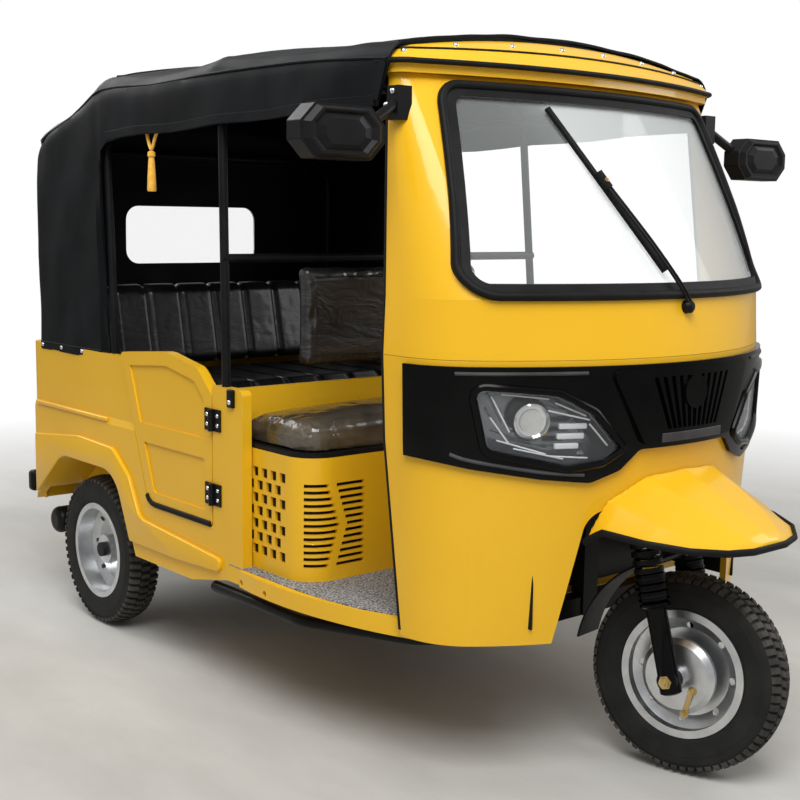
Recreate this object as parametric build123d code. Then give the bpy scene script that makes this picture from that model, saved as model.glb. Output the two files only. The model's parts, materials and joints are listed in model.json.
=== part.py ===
"""Passenger motor tricycle with a steel cab, a steel rear tub and a canvas hood.

Millimetres. +X is the vehicle's left, +Y is rearward, +Z is up, and the tyres stand on z = 0.
The origin is on the road below the middle of the overall length. Lengths named "..._BACK" are
measured rearward from the front axle, and behind() turns them into Y.
"""
from build123d import *
import math
import os

# Overall sizes
OVERALL_LENGTH = 2760
FRONT_OVERHANG = 258
WHEELBASE = 2010
BODY_WIDTH = 1290
WHEEL_INSET = 80
REAR_TRACK = BODY_WIDTH - 2 * WHEEL_INSET
FRONT_AXLE_Y = FRONT_OVERHANG - OVERALL_LENGTH / 2
SIDE_X = BODY_WIDTH / 2
BUMPER_REAR_BACK = OVERALL_LENGTH - FRONT_OVERHANG
BUMPER_DEPTH = 42
BUMPER_GAP = 4
TUB_REAR_BACK = BUMPER_REAR_BACK - BUMPER_DEPTH - BUMPER_GAP
PANEL_WALL = 32

# Clearances
SEAT_GAP = 0.3
RUNNING_GAP = 0.05
DOOR_GAP = 6

# Wheels
TYRE_RADIUS = 254
TYRE_WIDTH = 108
TREAD_WIDTH = 92
TREAD_DROP = 9
RIM_RADIUS = 162
RIM_WIDTH = 100
RIM_FLANGE = 5
RIM_SEAT_RADIUS = 150
RIM_WALL = 7
DISC_WALL = 8
DISC_DISH = 14
DISC_FLAT = 112
DISC_HOLES = 8
DISC_HOLE_CIRCLE = 120
DISC_HOLE_RADIUS = 9
HUB_RADIUS = 48
FRONT_HUB_LENGTH = 96
FRONT_DISC_OFFSET = 6
REAR_HUB_INNER = 44
REAR_HUB_OUTER = 22
REAR_DISC_OFFSET = -24
FRONT_AXLE_RADIUS = 10
SPINDLE_RADIUS = 16

# Steering
CASTER_DEG = 16
AXIS_SETBACK = 37
STEER_REST_DEG = 16
FORK_HALF_SPAN = 126
FORK_LEG_RADIUS = 23
FORK_EYE_RADIUS = 27
FORK_EYE_WIDTH = 30
BOOT_RADIUS = 37
BOOT_RIBS = 9
BOOT_RIB_SHARE = 0.6
BOOT_START = 205
BOOT_END = 395
YOKE_START = 395
YOKE_DEPTH = 76
YOKE_THICKNESS = 34
YOKE_CORNER = 20
COLUMN_RADIUS = 17
COLUMN_END = 835
HEAD_TUBE_RADIUS = 27
HEAD_TUBE_START = 455
HEAD_TUBE_END = 640
BRAKE_PLATE_RADIUS = 96
BRAKE_PLATE_INNER = 56
BRAKE_PLATE_OUTER = 82
BAR_RADIUS = 12
GRIP_RADIUS = 17
BAR_HALF_SPAN = 300
BAR_SWEEP = 120
BAR_STRAIGHT = 100
BAR_BEND = 60
GRIP_LENGTH = 120
INNER_GUARD_RADIUS = 288
INNER_GUARD_WALL = 5
INNER_GUARD_WIDTH = 120
INNER_GUARD_LOW = 40

# Cab shell, as plan sections of straight sides, two corner arcs and one front arc
CAB_WALL = 18
SPLIT_Z = 1060
CAB_TOP = 1730
SPLIT_GAP = 1
CAB_SECTIONS = [
    # height, half width, nose back, front radius, corner radius, rear edge back
    (360, SIDE_X - 45, 70, 850, 200, 420),
    (850, SIDE_X - 20, 35, 850, 210, 460),
    (SPLIT_Z, SIDE_X - 15, 30, 880, 220, 465),
    (1200, SIDE_X - 23, 50, 930, 220, 468),
    (CAB_TOP, SIDE_X - 60, 372, 1650, 45, 512),
]
ARCH_BOTTOM_HALF = 352
ARCH_TOP_HALF = 285
ARCH_TOP_Z = 690
ARCH_CORNER = 60

# Windscreen
SCREEN_TOP_Z = 1714
SCREEN_BOTTOM_Z = 1203
SCREEN_TOP_HALF = 498
SCREEN_BOTTOM_HALF = 586
SCREEN_TOP_RADIUS = 62
SCREEN_BOTTOM_RADIUS = 70
GASKET_LIP = 12
GASKET_WIDTH = 34
GASKET_PROUD = 8
GLASS_THICKNESS = 5
GLASS_INSET = 2

# Nose
FASCIA_PROUD = 12
FASCIA_END_BACK = 378
FASCIA_OUTLINE = [
    # half width, height, corner radius
    (700, 1046, 0),
    (700, 838, 0),
    (632, 824, 30),
    (555, 803, 60),
    (415, 777, 60),
    (298, 763, 40),
    (221, 790, 30),
    (168, 838, 30),
]
LAMP_OUTLINE = [
    # half width, height, corner radius
    (556, 998, 22),
    (384, 981, 40),
    (300, 936, 40),
    (221, 846, 10),
    (277, 813, 40),
    (355, 803, 40),
    (524, 845, 26),
]
LAMP_RIM = 8
LAMP_DEPTH = 74
LENS_PROUD = 7
LENS_WALL = 4
GRILLE_TOP_Z = 1036
GRILLE_BOTTOM_Z = 852
GRILLE_TOP_HALF = 268
GRILLE_BOTTOM_HALF = 168
GRILLE_PROUD = 20
GRILLE_CORNER = 18
GRILLE_SLOT_DEPTH = 9
GRILLE_SLOTS = 11
GRILLE_SLOT_PITCH = 28
GRILLE_SLOT_WIDTH = 13
GRILLE_SLOT_CORNER = 3
GRILLE_SLOT_TOP = 1014
GRILLE_SLOT_BOTTOM = 884
DISC_Z = 972
DISC_RADIUS = 42
DISC_PROUD = 4

# Front mudguard, as arched sections across the vehicle
GUARD_WALL = 8
GUARD_SHOULDER_SHARE = 0.7
GUARD_SECTIONS = [
    # back, half width, lower edge height, ridge half width, ridge height, edge half width, edge height, crown height
    (130, 290, 598, 244, 728, 140, 802, 820),
    (50, 286, 646, 236, 706, 130, 768, 780),
    (-60, 258, 636, 208, 674, 112, 722, 732),
    (-150, 206, 628, 164, 648, 92, 678, 685),
    (-205, 135, 623, 108, 633, 62, 649, 654),
    (-226, 64, 621, 50, 627, 30, 635, 638),
]

# Roof cap
CAP_WALL = 10
CAP_REAR_BACK = 530
CAP_SECTIONS = [
    # height, half width, nose back, front radius, corner radius, rear edge back
    (CAB_TOP + SEAT_GAP, SIDE_X - 45, 352, 1650, 60, CAP_REAR_BACK),
    (1765, SIDE_X - 49, 360, 1650, 50, CAP_REAR_BACK),
    (1815, SIDE_X - 83, 412, 2600, 40, CAP_REAR_BACK),
    (1845, SIDE_X - 140, 455, 3400, 30, CAP_REAR_BACK),
]
CAP_FLOOR = 14

# Floor, sills and chassis
FLOOR_TOP = 395
FLOOR_THICKNESS = 20
FLOOR_REAR_BACK = 1560
FLOOR_FRONT_HALF = SIDE_X - 77
FLOOR_MIDDLE_HALF = SIDE_X + 19
FLOOR_MIDDLE_BACK = 790
FLOOR_END_HALF = SIDE_X + 11
SILL_STRIP_DROP = 48
SILL_STRIP_WALL = 10
SILL_HOLE_RADIUS = 9
SILL_HOLE_SPACING = 130
SILL_HOLE_BACK = 985
SILL_HOLE_Z = 361
SILL_TUBE_RADIUS = 16
SILL_TUBE_Z = 308
SILL_TUBE_HALF = SIDE_X - 15
SILL_TUBE_REAR_BACK = 1230
SILL_TUBE_BEND_BACK = 800
SILL_TUBE_NOSE_BACK = 455
SILL_TUBE_NOSE_HALF = SILL_TUBE_HALF - 160
SILL_TUBE_BEND = 120
RAIL_X = 330
RAIL_WIDTH = 44
RAIL_FRONT_BACK = 335
RAIL_KICK_START_BACK = 1620
RAIL_KICK_END_BACK = 1740
RAIL_KICK = 105
RAIL_REAR_BACK = TUB_REAR_BACK - 36
CROSS_DEPTH = 50
CROSS_BACKS = (360, 620, 1180, 1480)
RAISED_CROSS_BACKS = (1770, RAIL_REAR_BACK - 30)
ENGINE_CROSS_BACKS = (860, 1050)
ENGINE_CROSS_BOTTOM = 230
ENGINE_CROSS_HEIGHT = 30
NECK_HALF = 28
NECK_FRONT_BACK = 330
NECK_REAR_BACK = 372
NECK_TOP = 856
NECK_ARM_BOTTOM = 772
REAR_FLOOR_THICKNESS = 14
HANGER_FRONT_BACK = RAIL_REAR_BACK - 65
HANGER_BOTTOM = 345
HANGER_FOOT = 21
LEG_SHIELD_BACK = 386
LEG_SHIELD_WALL = 12
LEG_SHIELD_TOP = 930

# Driver's seat box, engine and dash
BOX_FRONT_BACK = 808
BOX_HALF = SIDE_X - PANEL_WALL - 5
BOX_CORNER = 90
BOX_WALL = 12
BOX_FLANGE = 60
BOX_TOP = 742
LID_THICKNESS = 12
LID_OVERHANG = 10
CUSHION_EDGE = 64
CUSHION_CROWN = 96
SIDE_HOLE = 28
SIDE_HOLE_PITCH_Y = 44
SIDE_HOLE_PITCH_Z = 37
SIDE_HOLE_ROWS = 7
SIDE_HOLE_BOTTOM = 441
SIDE_HOLE_COLUMNS = 4
SIDE_HOLE_FIRST_BACK = 905
LOUVRE_COUNT = 13
LOUVRE_PITCH = 18.5
LOUVRE_HEIGHT = 10
LOUVRE_BOTTOM = 438
LOUVRE_INNER = 410
LOUVRE_OUTER = 590
LOUVRE_GAP = 26
LOUVRE_CHEVRON = 36
ENGINE_HALF = 230
ENGINE_FRONT_BACK = 826
ENGINE_REAR_BACK = 1090
ENGINE_TOP = 640
DASH_Z = 1130
DASH_THICKNESS = 22
DASH_REAR_BACK = 185
PARTITION_BACK = 1140
PARTITION_WALL = 22
PARTITION_TOP = 900

# Rear tub and doors
TUB_FRONT_BACK = 1062
TUB_JOINT_BACK = TUB_REAR_BACK - 86
TUB_CORNER = 60
TUB_TOP = 941
PILLAR_TOP = 905
SKIRT_BOTTOM = 306
SKIRT_LOW_BACK = 1340
TUB_BOTTOM = 367
CREASE_Z = 712
CREASE_STEP = 7
CREASE_SLOPE = 22
WHEEL_ARCH = [
    # distance behind the rear axle, height, corner radius
    (-352, 250, 0),
    (-208, 562, 130),
    (175, 562, 120),
    (424, 364, 0),
    (424, 250, 0),
]
LINER_WALL = 6
LINER_INNER_X = REAR_TRACK / 2 - 95
LINER_BOTTOM = 340
DOOR_OUTLINE = [
    # back, height, corner radius
    (1222, 492, 14),
    (1222, 878, 10),
    (1300, 948, 60),
    (1480, 980, 200),
    (1764, 956, 12),
    (1704, 790, 40),
    (1600, 510, 30),
    (1560, 492, 20),
]
DOOR_HINGE_BACK = 1212
DOOR_HINGE_OUT = 9
HINGE_HEIGHTS = (588, 806)
HINGE_LENGTH = 64
HINGE_KNUCKLE = 8
HINGE_PIN = 4
HINGE_LEAF = 4
HINGE_LEAF_REACH = 42
HINGE_AXIAL_GAP = 0.5
DOOR_PANEL_RECESS = 6
DOOR_RECESS_MARGIN = 42
DOOR_RIB_Z = 716
DOOR_RIB = 60

# Bench
BENCH_FRONT_BACK = 1545
BENCH_TOP = 742
BENCH_WALL = 16
BENCH_CUSHION = 112
BENCH_CUSHION_REAR_BACK = 2068
BENCH_HALF = SIDE_X - PANEL_WALL - 9
BENCH_BACK_TOP = 1172
BENCH_BACK_LEAN = 66
BENCH_BACK_THICKNESS = 92
BENCH_ROUND = 24

# Hood
HOOD_TUBE_RADIUS = 13
POLE_BASE_BACK = 1170
POLE_TOP_BACK = 1232
POLE_BASE_HALF = SIDE_X - 19
POLE_TOP_HALF = SIDE_X - 47
BAR_Z = 1268
BOW_TOP_Z = 1782
BOW_BEND = 110
HOOD_RAIL_Z = 1712
HOOD_RAIL_HALF = POLE_TOP_HALF - 26
REAR_BOW_FOOT_BACK = 1856
REAR_BOW_TOP_BACK = 1930
REAR_BOW_TOP_Z = 1755
REAR_BOW_FOOT_HALF = SIDE_X - PANEL_WALL - 1
TAIL_BOW_BACK = TUB_REAR_BACK - 130
TAIL_BOW_FOOT_BACK = TUB_REAR_BACK - 106
TAIL_BOW_TOP_Z = 1606
CANVAS_WALL = 9
CANVAS_SECTIONS = [
    # back, half width, edge height, crown height, edge radius
    (514, POLE_TOP_HALF + 18, 1806, 1858, 70),
    (1235, POLE_TOP_HALF + 28, 1806, 1876, 80),
    (1880, POLE_TOP_HALF + 40, 1800, 1868, 90),
    (TUB_REAR_BACK - 256, POLE_TOP_HALF + 42, 1712, 1772, 90),
    (TUB_REAR_BACK - 110, POLE_TOP_HALF + 42, 1650, 1706, 80),
    (TUB_REAR_BACK - 58, POLE_TOP_HALF + 42, 1540, 1590, 70),
]
CANVAS_FRONT_BACK = 514
VALANCE_FRONT_Z = 1652
VALANCE_REAR_Z = 1616
OPENING_REAR_TOP_BACK = 1914
OPENING_REAR_FOOT_BACK = 1842
OPENING_CORNER = 40
WINDOW_HALF = 282
WINDOW_BOTTOM = 1211
WINDOW_TOP = 1423
WINDOW_CORNER = 50
BACKREST_HALF = 362
BACKREST_BOTTOM = 930
BACKREST_THICKNESS = 66
BACKREST_ROUND = 22

# Running gear behind
AXLE_TUBE_RADIUS = 30
DIFF_RADIUS = 92
DIFF_WIDTH = 150
SHAFT_RADIUS = 24
NUT_RADIUS = 24
NUT_LENGTH = 16
SPRING_X = LINER_INNER_X - 65
SPRING_WIDTH = 50
SPRING_LEAVES = 4
SPRING_LEAF = 7
SPRING_HALF = 390
SPRING_CAMBER = 62
SPRING_PIN = 8
SPRING_EYE = 17
BUMPER_HALF = SIDE_X - 5
BUMPER_Z = 422
BUMPER_HEIGHT = 76
SILENCER_RADIUS = 48
SILENCER_BACK = TUB_REAR_BACK - 82
SILENCER_Z = 288
SILENCER_OUTER_X = SIDE_X - 47
SILENCER_INNER_X = SILENCER_OUTER_X - 156
STAY_RADIUS = 8
TAIL_LAMP_X = SIDE_X - 145
TAIL_LAMP_WIDTH = 150
TAIL_LAMP_HEIGHT = 84
TAIL_LAMP_Z = 640
TAIL_LAMP_PROUD = 22

# Mirrors and wiper
MIRROR_ROOT_BACK = 462
MIRROR_ROOT_Z = 1657
MIRROR_HEAD_X = SIDE_X + 155
MIRROR_HEAD_BACK = 430
MIRROR_HEAD_Z = 1576
MIRROR_HALF_WIDTH = 120
MIRROR_HALF_HEIGHT = 61
MIRROR_CHAMFER = 40
MIRROR_DEPTH = 52
MIRROR_CORNER = 6
MIRROR_ARM_RADIUS = 13
MIRROR_FOOT = 40
WIPER_PIVOT_Z = 1182
WIPER_RADIUS = 14
WIPER_TIP_X = -210
WIPER_TIP_Z = 1651
WIPER_ELBOW_X = -146
WIPER_ELBOW_Z = 1478
WIPER_BAR_RADIUS = 4.5
WIPER_OFF = 15
WIPER_PIVOT_OFF = 36

FAR = 4000
OVERCUT = 1
PARTS = {}


def behind(distance):
    """Y of a point the given distance behind the front axle."""
    return FRONT_AXLE_Y + distance


def block(x0, x1, y0, y1, z0, z1):
    """A box between two corners."""
    size = (x1 - x0, y1 - y0, z1 - z0)
    return Pos((x0 + x1) / 2, (y0 + y1) / 2, (z0 + z1) / 2) * Box(*size)


def rod(start, end, radius):
    """A round bar between two points."""
    start = Vector(*start)
    axis = Vector(*end) - start
    return extrude(Plane(origin=start, z_dir=axis) * Circle(radius), axis.length)


def outline(points):
    """A closed flat face from (u, v, corner radius) rows."""
    path = [(row[0], row[1]) for row in points]
    radii = [row[2] for row in points]
    return make_face(FilletPolyline(*path, radius=radii, close=True))


def along_x(face, x0, x1):
    """A face drawn as (Y, Z), extruded from x0 to x1."""
    return extrude(Plane((x0, 0, 0), x_dir=(0, 1, 0), z_dir=(1, 0, 0)) * face, x1 - x0)


def along_y(face, y0=-FAR, y1=FAR):
    """A face drawn as (X, Z), extruded from y0 to y1."""
    return extrude(Plane((0, y1, 0), x_dir=(1, 0, 0), z_dir=(0, -1, 0)) * face, y1 - y0)


def along_z(face, z0, z1):
    """A face drawn as (X, Y), extruded from z0 to z1."""
    return extrude(Plane.XY.offset(z0) * face, z1 - z0)


def across(shape):
    """The same shape on the other side of the vehicle."""
    return mirror(shape, about=Plane.YZ)


def bent_tube(points, bend, radius):
    """A tube along straight runs joined by arcs."""
    path = FilletPolyline(*points, radius=bend)
    profile = Plane(origin=path @ 0, z_dir=path % 0) * Circle(radius)
    return sweep(profile, path=path)


def keep(name, *shapes):
    """Store the solids of one node."""
    solids = [solid for shape in shapes for solid in shape.solids()]
    PARTS[name] = solids[0] if len(solids) == 1 else Compound(children=solids)


def ruled_loft(wires):
    """A solid with straight lines from each closed wire to the next."""
    return Part() + Solid.make_loft(wires, True)


def plan_section(z, half, nose, front_radius, corner_radius, rear, grow=0, rear_extra=0):
    """Closed plan outline with a bowed front, rounded front corners and a straight rear."""
    half = half + grow
    front_radius = front_radius + grow
    corner_radius = corner_radius + grow
    nose_y = behind(nose) - grow
    rear_y = behind(rear) + rear_extra
    corner_x = half - corner_radius
    reach = math.sqrt((front_radius - corner_radius) ** 2 - corner_x ** 2)
    corner_y = nose_y + front_radius - reach
    end_angle = math.atan2(-reach, corner_x)

    def on_corner(angle):
        x = corner_x + corner_radius * math.cos(angle)
        y = corner_y + corner_radius * math.sin(angle)
        return x, y

    side = (half, corner_y)
    middle = on_corner(end_angle / 2)
    touch = on_corner(end_angle)
    edges = [
        Line((half, rear_y, z), (*side, z)),
        ThreePointArc((*side, z), (*middle, z), (*touch, z)),
        ThreePointArc((*touch, z), (0, nose_y, z), (-touch[0], touch[1], z)),
        ThreePointArc((-touch[0], touch[1], z), (-middle[0], middle[1], z), (-side[0], side[1], z)),
        Line((-side[0], side[1], z), (-half, rear_y, z)),
        Line((-half, rear_y, z), (half, rear_y, z)),
    ]
    return Wire(edges)


def plan_loft(rows, grow=0, rear_extra=0):
    """Solid through plan sections, grown or shrunk all round."""
    return ruled_loft([plan_section(*row, grow, rear_extra) for row in rows])


def lower_cab(grow=0, rear_extra=0):
    """The outer form of the cab below its split."""
    return plan_loft(CAB_SECTIONS[:3], grow, rear_extra)


def upper_cab(grow=0, rear_extra=0):
    """The outer form of the cab above its split."""
    return plan_loft(CAB_SECTIONS[2:], grow, rear_extra)


def mirrored_outline(rows):
    """A closed outline, symmetric about x = 0, from its left half listed from the top down."""
    left = [(row[0], row[1], row[2]) for row in rows]
    right = [(-row[0], row[1], row[2]) for row in reversed(rows)]
    return outline(left + right)


def screen_face(inset):
    """Front view of the windscreen opening, drawn in by inset."""
    rows = [
        (SCREEN_TOP_HALF - inset, SCREEN_TOP_Z - inset, SCREEN_TOP_RADIUS - inset),
        (SCREEN_BOTTOM_HALF - inset, SCREEN_BOTTOM_Z + inset, SCREEN_BOTTOM_RADIUS - inset),
    ]
    return mirrored_outline(rows)


# Cab shell
lower_shell = lower_cab() - lower_cab(-CAB_WALL, FAR)
upper_shell = upper_cab() - upper_cab(-CAB_WALL, FAR)
arch_rows = [
    (ARCH_TOP_HALF, ARCH_TOP_Z, ARCH_CORNER),
    (ARCH_BOTTOM_HALF, CAB_SECTIONS[0][0] - CAB_WALL, 0),
]
wheel_gap = along_y(mirrored_outline(arch_rows), -FAR, behind(FASCIA_END_BACK))
lamp_face = outline(LAMP_OUTLINE)
lamp_prism = along_y(lamp_face, -FAR, behind(FASCIA_END_BACK))
lamp_prisms = lamp_prism + across(lamp_prism)
cab_lower = lower_shell - wheel_gap - lamp_prisms
cab_lower -= block(-FAR, FAR, -FAR, FAR, SPLIT_Z - SPLIT_GAP, SPLIT_Z + CAB_WALL)
keep("cab_lower", cab_lower)
screen_hole = along_y(screen_face(GASKET_LIP))
keep("cab_upper", upper_shell - screen_hole)

# Windscreen and its rubber
gasket_lip = (upper_cab(GASKET_PROUD) - upper_cab(SEAT_GAP)) & along_y(screen_face(0))
gasket_web = (upper_cab(OVERCUT) - upper_cab(-CAB_WALL)) & along_y(screen_face(GASKET_LIP + SEAT_GAP))
keep("screen_gasket", gasket_lip + gasket_web - along_y(screen_face(GASKET_WIDTH)))
glass_shell = upper_cab(-GLASS_INSET) - upper_cab(-GLASS_INSET - GLASS_THICKNESS)
keep("windscreen", glass_shell & along_y(screen_face(GASKET_WIDTH + SEAT_GAP)))

# Black nose panel, lamps and grille
nose_skin = lower_cab(FASCIA_PROUD) - lower_cab(SEAT_GAP)
nose_area = along_y(mirrored_outline(FASCIA_OUTLINE), -FAR, behind(FASCIA_END_BACK))
grille_rows = [
    (GRILLE_TOP_HALF, GRILLE_TOP_Z, GRILLE_CORNER),
    (GRILLE_BOTTOM_HALF, GRILLE_BOTTOM_Z, GRILLE_CORNER),
]
grille_area = along_y(mirrored_outline(grille_rows), -FAR, behind(FASCIA_END_BACK))
keep("nose_fascia", (nose_skin & nose_area) - lamp_prisms - grille_area)
split_row = CAB_SECTIONS[2]
panel_y = behind(split_row[2]) - GRILLE_PROUD
panel_radius = split_row[3] + GRILLE_PROUD
panel_form = along_z(Pos(0, panel_y + panel_radius) * Circle(panel_radius), GRILLE_BOTTOM_Z - OVERCUT, SPLIT_Z)
grille = (panel_form - lower_cab(SEAT_GAP)) & grille_area
disc_face = Pos(0, DISC_Z) * Circle(DISC_RADIUS)
for index in range(GRILLE_SLOTS):
    slot_x = (index - (GRILLE_SLOTS - 1) / 2) * GRILLE_SLOT_PITCH
    lean = slot_x * (GRILLE_BOTTOM_HALF / GRILLE_TOP_HALF - 1)
    slot_rows = [
        (slot_x - GRILLE_SLOT_WIDTH / 2, GRILLE_SLOT_TOP, GRILLE_SLOT_CORNER),
        (slot_x + GRILLE_SLOT_WIDTH / 2, GRILLE_SLOT_TOP, GRILLE_SLOT_CORNER),
        (slot_x + lean + GRILLE_SLOT_WIDTH / 2, GRILLE_SLOT_BOTTOM, GRILLE_SLOT_CORNER),
        (slot_x + lean - GRILLE_SLOT_WIDTH / 2, GRILLE_SLOT_BOTTOM, GRILLE_SLOT_CORNER),
    ]
    slot_front = panel_y + panel_radius - math.sqrt(panel_radius ** 2 - slot_x ** 2)
    grille -= along_y(outline(slot_rows), -FAR, slot_front + GRILLE_SLOT_DEPTH)
grille += along_y(disc_face, panel_y - DISC_PROUD, panel_y + GRILLE_PROUD - FASCIA_PROUD / 2)
keep("grille_panel", grille)
lamp_fit = along_y(offset(lamp_face, -SEAT_GAP), -FAR, behind(FASCIA_END_BACK))
lamp_hollow = along_y(offset(lamp_face, -LAMP_RIM), -FAR, behind(FASCIA_END_BACK))
bowl = (lower_cab(LENS_PROUD - LENS_WALL - SEAT_GAP) - lower_cab(-LAMP_DEPTH)) & lamp_fit
bowl -= (lower_cab(LENS_PROUD) - lower_cab(LAMP_RIM - LAMP_DEPTH)) & lamp_hollow
lens = (lower_cab(LENS_PROUD) - lower_cab(LENS_PROUD - LENS_WALL)) & lamp_fit
keep("headlamp_bowls", bowl, across(bowl))
keep("headlamp_lenses", lens, across(lens))


# Front mudguard
def guard_section(back, half, low, ridge_half, ridge, edge_half, edge, crown, inset):
    """Creased cross section of the mudguard in the plane across the vehicle."""
    y = behind(back)
    part_inset = inset * GUARD_SHOULDER_SHARE
    flank = [
        (half - inset, low - inset),
        (ridge_half - part_inset, ridge - part_inset),
        (edge_half - part_inset, edge - inset),
    ]
    points = [(x, y, z) for x, z in flank]
    points.append((0, y, crown - inset))
    points += [(-x, y, z) for x, z in reversed(flank)]
    return Wire.make_polygon(points, close=True)


def guard_form(inset):
    """The mudguard's outer form, or its hollow."""
    wires = [guard_section(*row, inset) for row in GUARD_SECTIONS]
    return ruled_loft(wires)


guard_tip = behind(GUARD_SECTIONS[-1][0])
guard_hollow = guard_form(GUARD_WALL) - block(-FAR, FAR, guard_tip - FAR, guard_tip + GUARD_WALL, 0, FAR)
keep("front_mudguard", guard_form(0) - guard_hollow - lower_cab(SEAT_GAP))

# Roof cap over the cab
cap_hollow = plan_loft(CAP_SECTIONS, -CAP_WALL)
cap_hollow -= block(-FAR, FAR, -FAR, FAR, 0, CAP_SECTIONS[0][0] + CAP_FLOOR)
cap_hollow -= block(-FAR, FAR, -FAR, FAR, CAP_SECTIONS[-1][0] - CAP_WALL, FAR)
keep("roof_cap", plan_loft(CAP_SECTIONS) - cap_hollow)

# Floor, with its edge turned down as a sill strip
FLOOR_BOTTOM = FLOOR_TOP - FLOOR_THICKNESS
FLOOR_FRONT_BACK = LEG_SHIELD_BACK + LEG_SHIELD_WALL + SEAT_GAP
TUB_INNER = SIDE_X - PANEL_WALL
REAR_AXLE_Y = behind(WHEELBASE)


def floor_face(inset):
    """Plan of the open floor between the cab and the tub, bowed out along both sides."""
    front = behind(FLOOR_FRONT_BACK)
    middle = behind(FLOOR_MIDDLE_BACK)
    rear = behind(TUB_FRONT_BACK) - SEAT_GAP
    widths = (FLOOR_FRONT_HALF - inset, FLOOR_MIDDLE_HALF - inset, FLOOR_END_HALF - inset)
    left = ThreePointArc((widths[0], front), (widths[1], middle), (widths[2], rear))
    right = ThreePointArc((-widths[2], rear), (-widths[1], middle), (-widths[0], front))
    return make_face([left, Line(left @ 1, right @ 0), right, Line(right @ 1, left @ 0)])


engine_hole = block(-ENGINE_HALF - DOOR_GAP, ENGINE_HALF + DOOR_GAP,
                    behind(ENGINE_FRONT_BACK) - DOOR_GAP, behind(ENGINE_REAR_BACK) + DOOR_GAP, 0, FLOOR_TOP)
floor_pan = along_z(floor_face(0), FLOOR_BOTTOM, FLOOR_TOP)
floor_pan += along_z(floor_face(0) - floor_face(SILL_STRIP_WALL), FLOOR_TOP - SILL_STRIP_DROP, FLOOR_TOP)
floor_pan += block(SEAT_GAP - TUB_INNER, TUB_INNER - SEAT_GAP, behind(TUB_FRONT_BACK) - OVERCUT,
                   behind(FLOOR_REAR_BACK), FLOOR_BOTTOM, FLOOR_TOP)
floor_pan -= engine_hole
for step in (-0.5, 0.5):
    hole_y = behind(SILL_HOLE_BACK) + step * SILL_HOLE_SPACING
    floor_pan -= rod((-FAR, hole_y, SILL_HOLE_Z), (FAR, hole_y, SILL_HOLE_Z), SILL_HOLE_RADIUS)
keep("floor_pan", floor_pan)

# Bent tube under the sills and the cab
sill_path = [
    (-SILL_TUBE_HALF, behind(SILL_TUBE_REAR_BACK), SILL_TUBE_Z),
    (-SILL_TUBE_HALF, behind(SILL_TUBE_BEND_BACK), SILL_TUBE_Z),
    (-SILL_TUBE_NOSE_HALF, behind(SILL_TUBE_NOSE_BACK), SILL_TUBE_Z),
    (SILL_TUBE_NOSE_HALF, behind(SILL_TUBE_NOSE_BACK), SILL_TUBE_Z),
    (SILL_TUBE_HALF, behind(SILL_TUBE_BEND_BACK), SILL_TUBE_Z),
    (SILL_TUBE_HALF, behind(SILL_TUBE_REAR_BACK), SILL_TUBE_Z),
]
keep("sill_tube", bent_tube(sill_path, SILL_TUBE_BEND, SILL_TUBE_RADIUS))

# Steering axis
CASTER = math.radians(CASTER_DEG)
AXIS_DIR = Vector(0, math.sin(CASTER), math.cos(CASTER))
AXIS_POINT = Vector(0, behind(AXIS_SETBACK), TYRE_RADIUS)
AXLE_POINT = Vector(0, FRONT_AXLE_Y, TYRE_RADIUS)


def on_axis(distance):
    """A point on the steering axis."""
    return AXIS_POINT + AXIS_DIR * distance


def on_leg(x, distance):
    """A point on a fork leg's centre line."""
    return Vector(x, 0, 0) + AXLE_POINT + AXIS_DIR * distance


def steered(shape):
    """Turn a piece of the steering from straight ahead to its rest angle."""
    return shape.rotate(Axis(AXIS_POINT, AXIS_DIR), STEER_REST_DEG)


# Chassis frame
RAIL_BOTTOM = SILL_TUBE_Z + SILL_TUBE_RADIUS + SEAT_GAP
RAISED_BOTTOM = RAIL_BOTTOM + RAIL_KICK
RAISED_TOP = FLOOR_BOTTOM + RAIL_KICK
rail_rows = [
    (behind(RAIL_FRONT_BACK), RAIL_BOTTOM, 0),
    (behind(RAIL_FRONT_BACK), FLOOR_BOTTOM, 0),
    (behind(RAIL_KICK_START_BACK), FLOOR_BOTTOM, RAIL_KICK),
    (behind(RAIL_KICK_END_BACK), RAISED_TOP, RAIL_KICK),
    (behind(RAIL_REAR_BACK), RAISED_TOP, 0),
    (behind(RAIL_REAR_BACK), RAISED_BOTTOM, 0),
    (behind(RAIL_KICK_END_BACK), RAISED_BOTTOM, RAIL_KICK),
    (behind(RAIL_KICK_START_BACK), RAIL_BOTTOM, RAIL_KICK),
]
RAIL_IN = RAIL_X - RAIL_WIDTH / 2
RAIL_OUT = RAIL_X + RAIL_WIDTH / 2
rail = along_x(outline(rail_rows), RAIL_IN, RAIL_OUT)
spring_eye_z = TYRE_RADIUS + AXLE_TUBE_RADIUS + SPRING_LEAVES * SPRING_LEAF + SPRING_CAMBER
for end in (-1, 1):
    pin_y = REAR_AXLE_Y + end * SPRING_HALF
    rail += rod((RAIL_X, pin_y, spring_eye_z), (SPRING_X + SPRING_WIDTH / 2, pin_y, spring_eye_z), SPRING_PIN)
rail += block(RAIL_IN, RAIL_OUT, behind(HANGER_FRONT_BACK), behind(RAIL_REAR_BACK), HANGER_BOTTOM, RAISED_TOP)
bumper_front = behind(BUMPER_REAR_BACK) - BUMPER_DEPTH
rail += block(RAIL_IN, RAIL_OUT, behind(HANGER_FRONT_BACK), behind(BUMPER_REAR_BACK) - HANGER_FOOT / 2,
              HANGER_BOTTOM, TUB_BOTTOM - SEAT_GAP)
rail += block(RAIL_IN, RAIL_OUT, bumper_front, behind(BUMPER_REAR_BACK) - HANGER_FOOT / 2,
              HANGER_BOTTOM, BUMPER_Z - BUMPER_HEIGHT / 2 - SEAT_GAP)
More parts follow.
